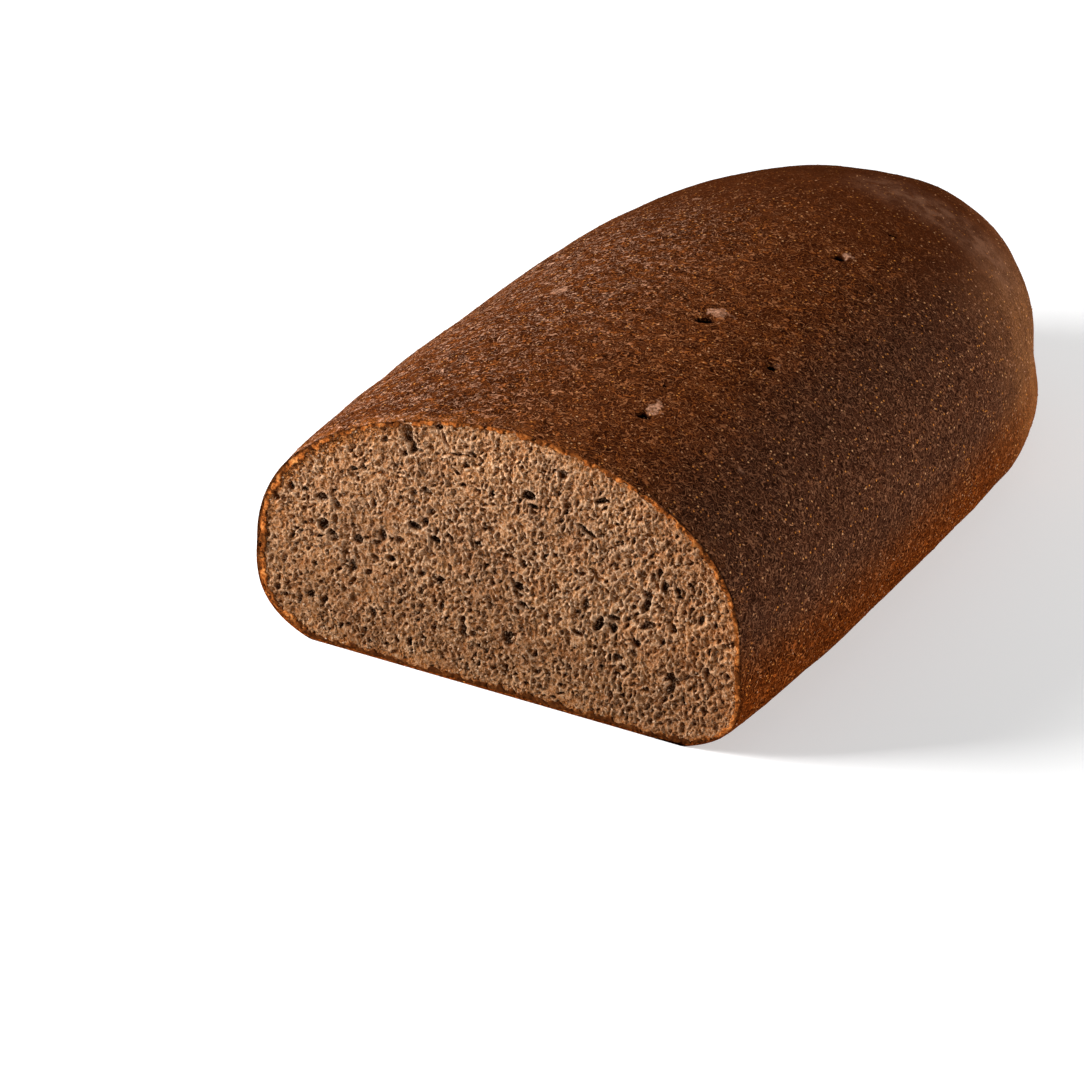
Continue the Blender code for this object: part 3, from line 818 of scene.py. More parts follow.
def crumb_depths(rim_gaps):
    """A raster of how deep the torn crumb lies behind the cut, in mm."""
    columns, rows = RASTER_SIZE
    x = RASTER_LEFT + np.arange(columns) * RASTER
    z = np.arange(rows) * RASTER
    spots = np.stack(np.meshgrid(x, [0.0], z, indexing="ij"), -1).reshape(-1, 3)
    crest = CREST + layered(spots, CREST_NOISE)
    bent = spots + BENT * np.column_stack([grain(spots, size, seed) for size, seed in BENDS])
    tall_left, tall_right = CELLS_TALL
    bent[:, 2] *= tall_left + (tall_right - tall_left) * smooth_step(0.0, 50 * MM, bent[:, 0])
    depth = crest
    for n, (size, thin, thick, share) in enumerate(MEMBRANES):
        gap, deep, broken = foam(bent, size, 90 + n)
        gap = gap / MM
        bowl = smooth_step(thin, thick, gap) * (FLOOR_DEPTH + deep**FLOOR_POWER)
        torn = TORN_WALL * smooth_step(0.5, 0.85, broken) * smooth_step(0.8, 0.0, gap)
        depth = depth + share * np.maximum(bowl, torn)
    way = rim_distance(rim_gaps, spots[:, 0], spots[:, 2]) / MM + 1.3 * grain(spots, 3 * MM, 79)
    open_here = 1 - CALM * smooth_step(0.0, 0.5, grain(spots, CALM_SIZE, 83))
    open_here += (OPEN_RIGHT - open_here) * smooth_step(15 * MM, 50 * MM, spots[:, 0])
    open_here *= SHALLOW_AT_RIM + (1 - SHALLOW_AT_RIM) * smooth_step(1.5, 6.0, way)
    depth = crest + (depth - crest) * open_here
    depth = np.maximum(depth.reshape(columns, rows), 0.0)
    for _ in range(CUT_PASSES):
        for bubble in bubbles(rim_gaps):
            carve(depth, bubble, BUBBLE_WALL)
    for px, pz, half_wide, half_tall, turn, deep in HOLES:
        wide, tall = HOLE_GROWTH * half_wide, HOLE_GROWTH * half_tall
        hole = (px, pz, wide, tall, math.radians(turn), 0.0, deep)
        carve(depth, hole, DEEPEST)
    ridge = smooth_step(0.3, 0.0, np.abs(grain(spots, 0.5 * MM, 74)))
    depth -= RIDGES * ridge.reshape(columns, rows)
    return DEEPEST * np.tanh(np.maximum(depth, 0.0) / DEEPEST)


def crumb_front():
    """The torn front of the crumb: a grid of points, with its depth, relief and way to the rim."""
    outline = cut_outline(CRUMB_ACROSS, CRUMB_UP)
    inset = outline + inward(outline) * (rim_thickness(outline) - CRUMB_UNDER_RIM)[:, None]
    grid = patch(inset, CRUMB_ACROSS, CRUMB_UP)
    x, z = grid[..., 0].ravel(), grid[..., 1].ravel()
    spots = on_cut(x, z)
    rim_gaps = rim_grid(outline)
    depths = crumb_depths(rim_gaps)
    column, row = (x - RASTER_LEFT) / RASTER, z / RASTER
    depth = read_grid(depths, column, row)
    relief = read_grid(spread(spread(depths, RELIEF_REACH), RELIEF_REACH) - depths, column, row)
    edge = rim_distance(rim_gaps, x, z)
    to_edge = smooth_step(RIM_BLEND[0] * CRUST_THICK, RIM_BLEND[1] * CRUST_THICK, edge)
    depth = RIM_DEPTH * (1 - to_edge) + depth * to_edge
    lean = (depth - MIDDLE_DEPTH) * MM * to_edge
    px = x + LEAN * lean * grain(spots, 1.7 * MM, 81)
    pz = z + LEAN * lean * grain(spots, 1.7 * MM, 82) - SAG * lean
    front = np.column_stack([px, CAD_BOX[0].y + CRUMB_SUNK + depth * MM, pz])
    shape = grid.shape[:2]
    layers = {"depth": depth, "edge": edge / MM, "relief": relief * to_edge, "room": 1 + 0 * depth}
    return front.reshape(*shape, 3), {name: layer.reshape(shape) for name, layer in layers.items()}


def make_crumb():
    """The open crumb: closed slabs, side by side, torn open in front and set behind the rim."""
    front, layers = crumb_front()
    made = []
    for name, first, last in STRIPS:
        part = (slice(first, last + 1), slice(None))
        points = front[part].reshape(-1, 3)
        index = np.arange(len(points)).reshape(front[part].shape[:2])
        loop = np.concatenate([index[:-1, 0], index[-1, :-1], index[:0:-1, -1], index[0, :0:-1]])
        back = points[loop].copy()
        back[:, 1] = CAD_BOX[0].y + CRUMB_BACK
        back_loop = np.arange(len(points), len(points) + len(loop))
        sides = np.vstack([loop, back_loop])
        sides = np.hstack([sides, sides[:, :1]])
        sheets = [
            (index, ((0.01, 0.10), (0.98, 0.88))),
            (sides, ((0.01, 0.01), (0.02, 0.05))),
        ]
        caps = [(back_loop[::-1], ((0.5, 0.045), 0.08), [0, 2])]
        mesh = new_mesh(name, np.vstack([points, back]), sheets, caps)
        for layer, values in layers.items():
            set_layer(mesh, layer, np.concatenate([values[part].ravel(), np.zeros(len(loop))]))
        made.append(new_object(name, mesh))
    return made


def small_kinds(name, sides, flat, seed):
    """A few small closed grains of radius 1, each a little different, for strewing."""
    dice = np.random.default_rng(seed)
    kinds = bpy.data.collections.new(name)
    for n in range(KINDS):
        angle = np.arange(sides) * math.tau / sides + dice.uniform(-0.3, 0.3, sides)
        reach = dice.uniform(0.6, 1.25, sides)
        long = dice.uniform(1.0, 1.9)
        x, y = reach * np.cos(angle) * long, reach * np.sin(angle) / long**0.5
        ring = np.column_stack([x, y, dice.uniform(-0.2, 0.2, sides) * flat])
        ends = np.array([[0.2 * dice.normal(), 0, flat * s * dice.uniform(0.7, 1.2)] for s in (1, -1)])
        faces = []
        for k in range(sides):
            after = (k + 1) % sides
            faces += [(k, after, sides), (after, k, sides + 1)]
        mesh = bpy.data.meshes.new(f"{name}_{n}")
        mesh.from_pydata(np.vstack([ring, ends]).tolist(), [], faces)
        kinds.objects.link(bpy.data.objects.new(f"{name}_{n}", mesh))
    return kinds


def strew_tree(name):
    """Geometry nodes that strew pieces over a surface, where its room layer lets them."""
    tree = bpy.data.node_groups.new(name, "GeometryNodeTree")
    face = tree.interface
    for label, kind in (
        ("Surface", "Geometry"), ("Pieces", "Collection"), ("Finish", "Material"), ("Density", "Float"),
        ("Smallest", "Float"), ("Largest", "Float"), ("Seed", "Int"),
    ):
        face.new_socket(label, in_out="INPUT", socket_type="NodeSocket" + kind)
    face.new_socket("Strewn", in_out="OUTPUT", socket_type="NodeSocketGeometry")
    kinds = {
        "ins": "NodeGroupInput", "outs": "NodeGroupOutput",
        "points": "GeometryNodeDistributePointsOnFaces", "room": "GeometryNodeInputNamedAttribute",
        "pieces": "GeometryNodeCollectionInfo", "spin": "FunctionNodeRandomValue",
        "turn": "FunctionNodeEulerToRotation", "turned": "FunctionNodeRotateRotation",
        "size": "FunctionNodeRandomValue", "put": "GeometryNodeInstanceOnPoints",
        "tint": "FunctionNodeRandomValue", "keep": "GeometryNodeStoreNamedAttribute",
        "real": "GeometryNodeRealizeInstances", "finish": "GeometryNodeSetMaterial",
        "thin": "ShaderNodeMath",
    }
    nodes = {key: tree.nodes.new(kind) for key, kind in kinds.items()}
    for key in ("room", "size", "tint", "keep"):
        nodes[key].data_type = "FLOAT"
    nodes["spin"].data_type = "FLOAT_VECTOR"
    nodes["turned"].rotation_space = "LOCAL"
    nodes["keep"].domain = "INSTANCE"
    nodes["thin"].operation = "MULTIPLY"
    for key, entry, value in (
        ("room", "Name", "room"), ("keep", "Name", "tint"), ("pieces", "Separate Children", True),
        ("pieces", "Reset Children", True), ("put", "Pick Instance", True),
        ("spin", 0, (-TIPPED, -TIPPED, 0.0)), ("spin", 1, (TIPPED, TIPPED, math.tau)),
    ):
        nodes[key].inputs[entry].default_value = value
    for source, output, target, entry in (
        ("ins", "Surface", "points", "Mesh"), ("room", "Attribute", "thin", 0),
        ("ins", "Density", "thin", 1), ("thin", "Value", "points", "Density"),
        ("ins", "Seed", "points", "Seed"), ("ins", "Pieces", "pieces", "Collection"),
        ("points", "Points", "put", "Points"), ("pieces", "Instances", "put", "Instance"),
        ("spin", "Value", "turn", "Euler"), ("points", "Rotation", "turned", "Rotation"),
        ("turn", "Rotation", "turned", "Rotate By"), ("turned", "Rotation", "put", "Rotation"),
        ("put", "Instances", "keep", "Geometry"), ("keep", "Geometry", "real", "Geometry"),
        ("real", "Geometry", "finish", "Geometry"), ("ins", "Finish", "finish", "Material"),
        ("finish", "Geometry", "outs", "Strewn"),
    ):
        tree.links.new(nodes[source].outputs[output], nodes[target].inputs[entry])
    low, high, size = float_sockets(nodes["size"])
    tree.links.new(nodes["ins"].outputs["Smallest"], low)
    tree.links.new(nodes["ins"].outputs["Largest"], high)
    tree.links.new(size, nodes["put"].inputs["Scale"])
    tree.links.new(float_sockets(nodes["tint"])[2], nodes["keep"].inputs["Value"])
    return tree


def float_sockets(node):
    """The lowest, highest and resulting plain numbers of a random value node."""
    low, high = [s for s in node.inputs if s.type == "VALUE" and s.name in ("Min", "Max")]
    return low, high, [s for s in node.outputs if s.type == "VALUE"][0]


def strew(tree, name, surfaces, shape, material):
    """Strews small grains over some pieces and returns them as one plain mesh piece."""
    sides, flat, density, smallest, largest, seed = shape
    kinds = small_kinds(name + "_kinds", sides, flat, seed)
    made = []
    for n, surface in enumerate(surfaces):
        carrier = new_object(name, surface.data)
        modifier = carrier.modifiers.new("strew", "NODES")
        modifier.node_group = tree
        values = {
            "Pieces": kinds, "Finish": material, "Density": density,
            "Smallest": smallest, "Largest": largest, "Seed": seed + n,
        }
        for item in tree.interface.items_tree:
            if item.name in values:
                modifier[item.identifier] = values[item.name]
        ready = carrier.evaluated_get(bpy.context.evaluated_depsgraph_get())
        made.append(bpy.data.meshes.new_from_object(ready))
        bpy.data.objects.remove(carrier)
    bm = bmesh.new()
    for mesh in made:
        bm.from_mesh(mesh)
    joined = made[0].copy()
    bm.to_mesh(joined)
    bm.free()
    joined.name = name
    return new_object(name, joined)


def new_material(name, roughness):
    """An empty material whose colour and bump are still to come."""
    made = bpy.data.materials.new(name)
    made.use_nodes = True
    shader = made.node_tree.nodes["Principled BSDF"]
    shader.inputs["Metallic"].default_value = 0.0
    shader.inputs["Roughness"].default_value = roughness
    return made, made.node_tree, shader


def link(tree, value, socket):
    """Sets an input: from another node's output, or to a plain value."""
    if isinstance(value, bpy.types.NodeSocket):
        tree.links.new(value, socket)
    else:
        socket.default_value = value


def place_on(tree):
    """Object coordinates, in metres."""
    return tree.nodes.new("ShaderNodeTexCoord").outputs["Object"]


def normal_on(tree):
    """Which way the surface faces, in object coordinates."""
    return tree.nodes.new("ShaderNodeTexCoord").outputs["Normal"]


def noise_at(tree, place, size, detail=2.0, rough=0.5, warp=0.0):
    """Noise with features of about size, in metres: a value from 0 to 1."""
    node = tree.nodes.new("ShaderNodeTexNoise")
    link(tree, place, node.inputs["Vector"])
    numbers = {"Scale": 1 / size, "Detail": detail, "Roughness": rough, "Distortion": warp}
    for name, number in numbers.items():
        node.inputs[name].default_value = number
    return node.outputs["Fac"]


def cells_at(tree, place, size):
    """Voronoi cells of about size: the distance to their middles, and a random colour for each."""
    node = tree.nodes.new("ShaderNodeTexVoronoi")
    link(tree, place, node.inputs["Vector"])
    node.inputs["Scale"].default_value = 1 / size
    return node.outputs["Distance"], node.outputs["Color"]


def sums(tree, kind, *values):
    """One step of arithmetic."""
    node = tree.nodes.new("ShaderNodeMath")
    node.operation = kind
    for value, socket in zip(values, node.inputs):
        link(tree, value, socket)
    return node.outputs["Value"]


def times(tree, *values):
    """The product of two or more values."""
    return reduce(partial(sums, tree, "MULTIPLY"), values)


def plus(tree, *values):
    """The sum of two or more values."""
    return reduce(partial(sums, tree, "ADD"), values)


def most(tree, *values):
    """The largest of two or more values."""
    return reduce(partial(sums, tree, "MAXIMUM"), values)


def away_from(tree, value, middle):
    """How far a value is from the middle."""
    return sums(tree, "ABSOLUTE", sums(tree, "SUBTRACT", value, middle))


def rise(tree, value, low, high, to_low=0.0, to_high=1.0, eased=True):
    """An eased rise from to_low to to_high while value goes from low to high."""
    node = tree.nodes.new("ShaderNodeMapRange")
    node.interpolation_type = "SMOOTHSTEP" if eased else "LINEAR"
    for name, number in (("From Min", low), ("From Max", high), ("To Min", to_low), ("To Max", to_high)):
        node.inputs[name].default_value = number
    link(tree, value, node.inputs["Value"])
    return node.outputs["Result"]


def where(tree, *slopes):
    """The product of eased rises, each with the value, low, high, to_low and to_high of rise."""
    return times(tree, *(rise(tree, *slope) for slope in slopes))


def mixed(tree, share, first, second, blend="MIX"):
    """Two colours mixed."""
    node = tree.nodes.new("ShaderNodeMix")
    node.data_type = "RGBA"
    node.blend_type = blend
    link(tree, share, node.inputs["Factor"])
    for value, name in ((first, "A"), (second, "B")):
        socket = [s for s in node.inputs if s.name == name and s.type == "RGBA"][0]
        link(tree, value if isinstance(value, bpy.types.NodeSocket) else (*value, 1.0), socket)
    return [s for s in node.outputs if s.type == "RGBA"][0]


def ramp(tree, value, *stops):
    """A colour that changes with value: stops are (place, colour)."""
    node = tree.nodes.new("ShaderNodeValToRGB")
    link(tree, value, node.inputs["Fac"])
    band = node.color_ramp
    while len(band.elements) < len(stops):
        band.elements.new(0.5)
    for element, (place, colour) in zip(band.elements, stops):
        element.position = place
        element.color = (*colour, 1.0)
    return node.outputs["Color"]


def layer_of(tree, name):
    """A value kept on the mesh."""
    node = tree.nodes.new("ShaderNodeAttribute")
    node.attribute_name = name
    return node.outputs["Fac"]


def bumped(tree, height, deep):
    """A normal from a height of 0 to 1 that stands for deep metres."""
    node = tree.nodes.new("ShaderNodeBump")
    node.inputs["Strength"].default_value = 1.0
    node.inputs["Distance"].default_value = deep
    link(tree, height, node.inputs["Height"])
    return node.outputs["Normal"]


def parted(tree, vector):
    """The X, Y and Z of a vector."""
    node = tree.nodes.new("ShaderNodeSeparateXYZ")
    link(tree, vector, node.inputs[0])
    return node.outputs["X"], node.outputs["Y"], node.outputs["Z"]


def strokes(tree, place, size, width):
    """Thin curved light strokes, 0 to 1, and the dark ones that lie along them."""
    off = away_from(tree, noise_at(tree, place, size, detail=1.0, warp=0.6), 0.5)
    beside = away_from(tree, off, 1.9 * width)
    return rise(tree, off, width, 0.0), rise(tree, beside, width, 0.0)


def coat(tree, shader, colour, normal, shine):
    """Gives a material its colour, its relief and how strongly it shines."""
    link(tree, colour, shader.inputs["Base Color"])
    link(tree, normal, shader.inputs["Normal"])
    shader.inputs["Specular IOR Level"].default_value = shine


def crust_material():
    """Dark baked rye crust: red-brown, full of fine pale and orange grain, nearly matt, with painted shade
    and painted sheen in its colour.
    """
    made, tree, shader = new_material("baked_crust", 0.55)
    place = place_on(tree)
    x, y, z = parted(tree, place)
    broad = noise_at(tree, place, 34 * MM, detail=3.0)
    patchy = noise_at(tree, place, 5 * MM, detail=4.0, rough=0.65)
    fine = noise_at(tree, place, 0.7 * MM, detail=2.0, rough=0.6)
    broken = noise_at(tree, place, 1.3 * MM, detail=1.0)
    lines, gaps = strokes(tree, place, 1.7 * MM, 0.045)
    lines = times(tree, lines, rise(tree, broken, 0.40, 0.54))
    threads, seams = strokes(tree, place, 1.05 * MM, 0.05)
    threads = times(tree, threads, rise(tree, broken, 0.58, 0.46))
    speck_gap, speck_kind = cells_at(tree, place, 1.15 * MM)
    speck_pick, speck_hue, _ = parted(tree, speck_kind)
    specks = where(tree, (speck_gap, 0.27, 0.13), (speck_pick, 0.62, 0.85))

    # The dark ground, which changes over the loaf, with painted sheen, painted bounce light and painted
    # shade in it
    dark = mixed(tree, rise(tree, broad, 0.38, 0.62), (0.052, 0.0125, 0.0032), (0.078, 0.0195, 0.0055))
    dark = mixed(tree, rise(tree, patchy, 0.38, 0.66), dark, (0.130, 0.035, 0.0095))
    # Painted sheen: the right flank greyer and less red, as glancing light would make it
    flank = where(tree, (x, 30 * MM, 52 * MM), (z, 16 * MM, 32 * MM, 0.0, 0.7))
    dark = mixed(tree, flank, dark, (0.064, 0.0262, 0.0152))
    # Paler and more orange low down: partly less-baked crust, partly painted bounce light from the floor
    low = where(tree, (z, 30 * MM, 5 * MM, 0.0, 0.75), (y, 0.0, 60 * MM, 1.0, 0.5))
    dark = mixed(tree, low, dark, (0.132, 0.033, 0.0072))
    blotch = noise_at(tree, place, 11 * MM, detail=5.0, rough=0.7)
    # Painted sheen of light from behind: the whole end lighter, in mottled patches
    end_sheen = ramp(tree, blotch, (0.38, (0.078, 0.027, 0.011)), (0.60, (0.172, 0.068, 0.031)))
    dark = mixed(tree, rise(tree, y, 55 * MM, 98 * MM, 0.0, 0.75), dark, end_sheen)
    # Painted sheen: a warm lighter patch on the right side toward the whole end, as light from behind would
    # give
    turned = where(tree, (x, 36 * MM, 60 * MM), (y, 15 * MM, 65 * MM), (blotch, 0.36, 0.60, 0.45, 0.95))
    dark = mixed(tree, turned, dark, (0.265, 0.106, 0.038))
    # Painted shade: the crown darker on top, as light falling low from the left would leave it
    crown = where(tree, (z, 48 * MM, 60 * MM), (y, -20 * MM, 45 * MM, 0.0, 0.75))
    dark = mixed(tree, crown, dark, (0.046, 0.0110, 0.0032))
    scuffed = where(
        tree, (y, -97.5 * MM, -102.3 * MM), (x, 15 * MM, -15 * MM, 0.15, 0.9), (patchy, 0.38, 0.56)
    )
    dark = mixed(tree, scuffed, dark, (0.27, 0.080, 0.018))
    # A pale band round the crown toward the whole end: partly scuffed crust, partly painted sheen
    band = where(
        tree, (away_from(tree, y, 57 * MM), 13 * MM, 1 * MM), (x, 2 * MM, 20 * MM),
        (z, 40 * MM, 50 * MM), (patchy, 0.34, 0.64, 0.15, 0.62),
    )
    dark = mixed(tree, band, dark, (0.21, 0.098, 0.056))

    # The grain on it, which gives way to the whole end and low on the left
    far = where(tree, (y, -15 * MM, 70 * MM, 0.0, 0.85), (z, 42 * MM, 57 * MM, 0.45, 1.0))
    far_off = sums(tree, "SUBTRACT", 1.0, far)
    low_left = where(tree, (x, 0.0, -35 * MM), (z, 48 * MM, 34 * MM))
    even = where(tree, (flank, 0.0, 0.7, 1.0, 0.7), (low_left, 0.0, 1.0, 1.0, 0.5))
    groove = most(tree, gaps, times(tree, seams, 0.8), rise(tree, fine, 0.48, 0.34, 0.0, 0.8))
    groove = times(tree, groove, rise(tree, far_off, 0.2, 1.0, 0.12, 0.95))
    grainy = mixed(tree, groove, dark, (0.008, 0.0018, 0.0006))
    line_hue = noise_at(tree, place, 2.2 * MM, detail=1.0)
    line_tone = ramp(
        tree, line_hue, (0.35, (0.36, 0.100, 0.022)), (0.5, (0.29, 0.095, 0.032)),
        (0.65, (0.44, 0.165, 0.062)),
    )
    fleck = ramp(
        tree, speck_hue, (0.0, (0.46, 0.145, 0.036)), (0.5, (0.68, 0.25, 0.045)), (1.0, (0.72, 0.39, 0.190)),
    )
    pale = where(
        tree, (x, 15 * MM, -25 * MM, 0.0, 0.8), (line_hue, 0.42, 0.58), (far_off, 0.3, 0.9),
        (z, 38 * MM, 50 * MM),
    )
    line_tone = mixed(tree, pale, line_tone, (0.66, 0.37, 0.24))
    # Painted sheen: the strokes on the right flank greyer too
    line_tone = mixed(tree, flank, line_tone, (0.24, 0.114, 0.064))
    colour = mixed(tree, times(tree, lines, far_off, even, 0.9), grainy, line_tone)
    colour = mixed(tree, times(tree, threads, far_off, 0.55), colour, line_tone)
    colour = mixed(tree, times(tree, specks, rise(tree, far_off, 0.2, 0.7, 0.45, 0.9)), colour, fleck)

    # Torn places and pricks with painted shade inside, the low flank, painted shade on the right side, and
    # the sole
    torn_rough = noise_at(tree, place, 0.9 * MM, detail=3.0, rough=0.7)
    streaky = most(tree, lines, rise(tree, torn_rough, 0.44, 0.58, 0.25, 1.0))
    torn = times(tree, rise(tree, layer_of(tree, "torn"), 0.12, 0.82), streaky)
    colour = mixed(tree, torn, colour, (0.54, 0.27, 0.16))
    # Painted shade: the prick holes painted near black inside
    colour = mixed(tree, rise(tree, layer_of(tree, "hole"), 0.04, 0.34), colour, (0.003, 0.001, 0.0006))
    # The low flank paler and more orange again: partly less-baked crust, partly painted bounce light
    low = where(tree, (z, 30 * MM, 8 * MM), (y, 10 * MM, 60 * MM, 1.0, 0.4))
    colour = mixed(tree, low, colour, (1.04, 0.79, 0.47), "MULTIPLY")
    # Painted shade: the right side darker, away from the light
    colour = mixed(tree, rise(tree, x, 5 * MM, 45 * MM), colour, (0.82, 0.81, 0.80), "MULTIPLY")
    sole = rise(tree, parted(tree, normal_on(tree))[2], -0.7, -0.95, 0.0, 0.85)
    dusty = ramp(tree, patchy, (0.35, (0.085, 0.036, 0.016)), (0.65, (0.20, 0.105, 0.058)))
    colour = mixed(tree, sole, colour, dusty)

    height = plus(tree, times(tree, fine, 0.7), times(tree, specks, 0.35), times(tree, lines, 0.45))
    link(tree, rise(tree, patchy, 0.3, 0.7, 0.42, 0.60), shader.inputs["Roughness"])
    coat(tree, shader, colour, bumped(tree, height, 0.26 * MM), 0.0)
    return made


def rim_material():
    """The cut edge of the crust: toasted orange-brown, darker outside, with painted shade in its nicks and
    small notches, and darker low down, partly its own darker bottom crust, partly painted shade.
    """
    made, tree, shader = new_material("toasted_rim", 0.75)
    place = place_on(tree)
    tone = noise_at(tree, place, 1.7 * MM, detail=5.0, rough=0.8)
    patchy = noise_at(tree, place, 3.5 * MM, detail=2.0)
    notch_shade = noise_at(tree, place, 1.1 * MM, detail=3.0, rough=0.6)
    share, nick = layer_of(tree, "share"), layer_of(tree, "nick")
    height = parted(tree, place)[2]
    colour = ramp(
        tree, tone, (0.37, (0.022, 0.005, 0.001)), (0.45, (0.160, 0.042, 0.008)),
        (0.53, (0.37, 0.100, 0.018)), (0.67, (0.68, 0.29, 0.085)),
    )
    for slope, dark in (
        ((patchy, 0.52, 0.40, 0.0, 0.65), (0.085, 0.024, 0.005)),
        # Painted shade: dark spots for small shaded notches
        ((notch_shade, 0.54, 0.61, 0.0, 0.85), (0.030, 0.008, 0.002)),
        # Darker low down: partly the darker bottom crust, partly painted shade
        ((height, 6 * MM, 1 * MM, 0.0, 0.85), (0.035, 0.009, 0.002)),
        ((share, 0.35, 0.0, 0.0, 0.75), (0.085, 0.022, 0.006)),
        # Painted shade in the nicks
        ((nick, 0.2, 0.8, 0.0, 0.85), (0.02, 0.005, 0.002)),
    ):
        colour = mixed(tree, rise(tree, *slope), colour, dark)
    coat(tree, shader, colour, bumped(tree, tone, 0.3 * MM), 0.01)
    return made


def crumb_material():
    """Grey-brown rye crumb: tan torn walls, mid-brown floors and dark holes, with painted shade in its pits
    and holes and painted highlight on its wall tops.
    """
    made, tree, shader = new_material("rye_crumb", 0.85)
    place = place_on(tree)
    x, _, z = parted(tree, place)
    depth, edge = layer_of(tree, "depth"), layer_of(tree, "edge")
    tone = noise_at(tree, place, 1.5 * MM, detail=3.0, rough=0.65)
    broad = noise_at(tree, place, 16 * MM, detail=2.0)
    fine = noise_at(tree, place, 0.36 * MM, detail=2.0, rough=0.6)
    warm = noise_at(tree, place, 4 * MM, detail=2.0)
    lines, gaps = strokes(tree, place, 0.9 * MM, 0.06)
    relief = plus(
        tree, layer_of(tree, "relief"), rise(tree, tone, 0.3, 0.7, -0.14, 0.14),
        rise(tree, fine, 0.3, 0.7, -0.16, 0.16),
    )
    # Colour by relief: the pits darker, partly their own browner floors, partly painted shade; the wall tops
    # paler, partly their own tan, partly painted highlight
    colour = ramp(
        tree, rise(tree, relief, -0.8, 0.6, eased=False),
        (0.0, (0.042, 0.009, 0.001)), (0.33, (0.145, 0.042, 0.008)),
        (0.54, (0.310, 0.130, 0.044)), (0.72, (0.455, 0.240, 0.118)), (0.92, (0.63, 0.395, 0.240)),
    )
    for slope, other in (
        # Painted shade: the deepest places near black
        ((depth, 1.0, 1.8), (0.018, 0.005, 0.001)),
        ((gaps, 0.1, 0.8, 0.0, 0.42), (0.060, 0.018, 0.004)),
        ((lines, 0.1, 0.8, 0.0, 0.5), (0.60, 0.39, 0.25)),
    ):
        colour = mixed(tree, rise(tree, *slope), colour, other)

    # Warmer, greyer, darker and brighter parts of the cut
    low = where(tree, (z, 46 * MM, 4 * MM), (x, 20 * MM, 55 * MM, 1.0, 0.3))
    for share, tint in (
        (rise(tree, warm, 0.48, 0.68, 0.0, 0.40), (0.92, 0.70, 0.52)),
        (rise(tree, broad, 0.40, 0.62, 0.0, 0.9), (0.80, 0.78, 0.78)),
        (rise(tree, x, 25 * MM, 60 * MM), (1.04, 0.94, 0.84)),
        (low, (0.74, 0.71, 0.67)),
        (rise(tree, z, 44 * MM, 58 * MM), (1.22, 1.22, 1.20)),
    ):
        colour = mixed(tree, share, colour, tint, "MULTIPLY")

    # The crumb is toasted near the rim, and further in at the upper left
    ragged = plus(tree, edge, rise(tree, tone, 0.3, 0.7, -1.2, 1.2))
    left = rise(tree, x, -12 * MM, -36 * MM)
    near = where(tree, (ragged, 2.2, 0.9), (left, 0.0, 1.0, 0.55, 0.75))
    wide = times(tree, where(tree, (ragged, 4.6, 2.6, 0.0, 0.9), (z, 24 * MM, 40 * MM)), left)
    toasted = ramp(
        tree, fine, (0.42, (0.065, 0.015, 0.003)), (0.52, (0.26, 0.075, 0.014)), (0.66, (0.60, 0.25, 0.075)),
    )
    colour = mixed(tree, most(tree, near, wide), colour, toasted)
    height = plus(tree, fine, times(tree, lines, 0.7))
    coat(tree, shader, colour, bumped(tree, height, 0.2 * MM), 0.02)
    return made


def grain_material(name, *tones):
    """Small grains, each with a tone of its own."""
    made, tree, shader = new_material(name, 0.7)
    tint = layer_of(tree, "tint")
    colour = ramp(tree, tint, *((n / (len(tones) - 1), tone) for n, tone in enumerate(tones)))
    fine = noise_at(tree, place_on(tree), 0.2 * MM)
    colour = mixed(tree, rise(tree, fine, 0.35, 0.65, 0.0, 0.45), colour, tones[0])
    coat(tree, shader, colour, bumped(tree, fine, 0.04 * MM), 0.2)
    return made


def plain_floor():
    """The pale floor that the loaf stands on."""
    corners = [(-1, -1), (1, -1), (1, 1), (-1, 1)]
    mesh = bpy.data.meshes.new("floor")
    mesh.from_pydata([(FLOOR_HALF * x, FLOOR_HALF * y, -FLOOR_DROP) for x, y in corners], [], [(0, 1, 2, 3)])
    made = new_object("floor", mesh)
    material, _, shader = new_material("pale_floor", 0.8)
    shader.inputs["Base Color"].default_value = (0.8, 0.8, 0.8, 1.0)
    shader.inputs["Emission Color"].default_value = (1.0, 1.0, 1.0, 1.0)
    shader.inputs["Emission Strength"].default_value = FLOOR_GLOW
    shader.inputs["Specular IOR Level"].default_value = 0.1
    mesh.materials.append(material)


def direction(turn, height):
    """From the loaf towards a place so many degrees round it, and so many above the floor."""
    turn, height = math.radians(turn), math.radians(height)
    return Vector(
        (math.sin(turn) * math.cos(height), -math.cos(turn) * math.cos(height), math.sin(height))
    )


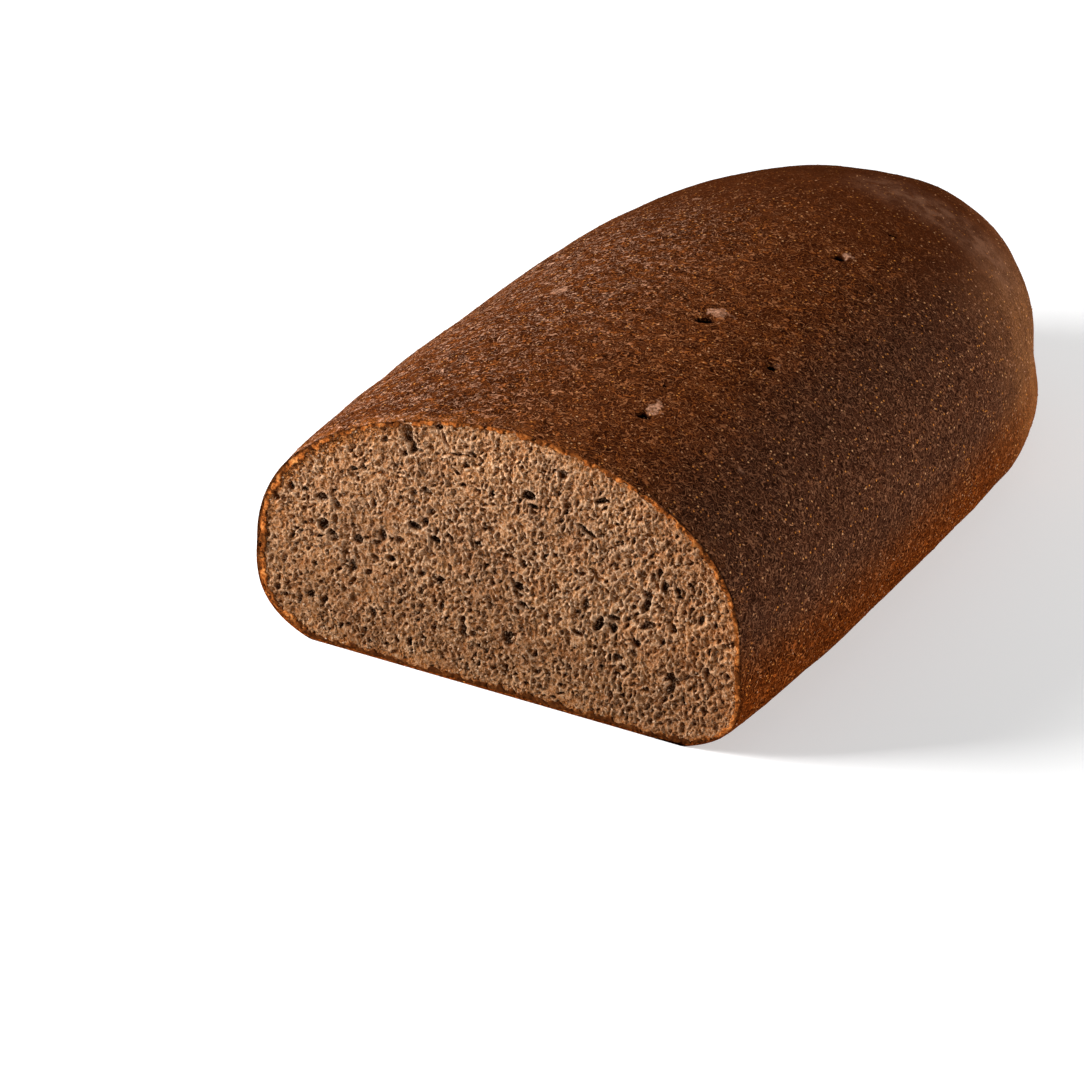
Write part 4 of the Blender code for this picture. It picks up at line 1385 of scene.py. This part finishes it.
def add_light(name, turn, height, far, size, power):
    """A soft square light that looks at the loaf."""
    lamp = bpy.data.lights.new(name, "AREA")
    lamp.size = size
    lamp.energy = power
    made = new_object(name, lamp)
    towards = direction(turn, height)
    made.location = Vector(LIT_PLACE) + towards * far
    made.rotation_euler = towards.to_track_quat("Z", "Y").to_euler()


def add_camera():
    """The camera, as the loaf is seen from the cut side, above and to the right."""
    camera = bpy.data.cameras.new("camera")
    camera.lens = LENS
    camera.sensor_width = SENSOR
    camera.clip_end = 20.0
    made = new_object("camera", camera)
    back = direction(CAMERA_TURN, CAMERA_HEIGHT)
    made.location = Vector(TARGET) + back * CAMERA_FAR
    made.rotation_euler = back.to_track_quat("Z", "Y").to_euler()
    bpy.context.scene.camera = made


def add_sky():
    """Even white light from all round."""
    world = bpy.data.worlds.new("white_room")
    world.use_nodes = True
    background = world.node_tree.nodes["Background"]
    background.inputs["Color"].default_value = (1.0, 1.0, 1.0, 1.0)
    background.inputs["Strength"].default_value = SKY
    bpy.context.scene.world = world


def solid_width():
    """The lowest and highest x of the settled form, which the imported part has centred."""
    reaches = stations(STATIONS)
    rings = sections(reaches, ACROSS, UP)
    points = [np.column_stack([r[:, 0], 0 * r[:, 0] + y, r[:, 1]]) for r, y in zip(rings, reaches)]
    x = settle(np.vstack(points))[:, 0]
    return x.min(), x.max()


SOLID_X = solid_width()


def main():
    add_camera()
    add_sky()
    add_light("key_light", *KEY_LIGHT)
    add_light("rim_light", *RIM_LIGHT)
    add_light("top_light", *TOP_LIGHT)
    plain_floor()
    crust = make_crust()
    crust.data.materials.append(crust_material())
    rim = make_rim()
    rim.data.materials.append(rim_material())
    crumb = make_crumb()
    crumb_finish = crumb_material()
    for piece in crumb:
        piece.data.materials.append(crumb_finish)
    tree = strew_tree("strew")
    bran = strew(tree, "bran_flecks", [crust], BRAN, grain_material("bran", *BRAN_TONES))
    bits = strew(tree, "crumb_bits", crumb, BITS, grain_material("crumb_bit", *BITS_TONES))
    for slot, pieces in (("crust", (crust, rim, bran)), ("crumb", (*crumb, bits))):
        for piece in pieces:
            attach(piece, "root")
    for piece in (crust, rim, *crumb):
        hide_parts("rye_loaf")
    bpy.context.scene.view_settings.view_transform = "Standard"


main()
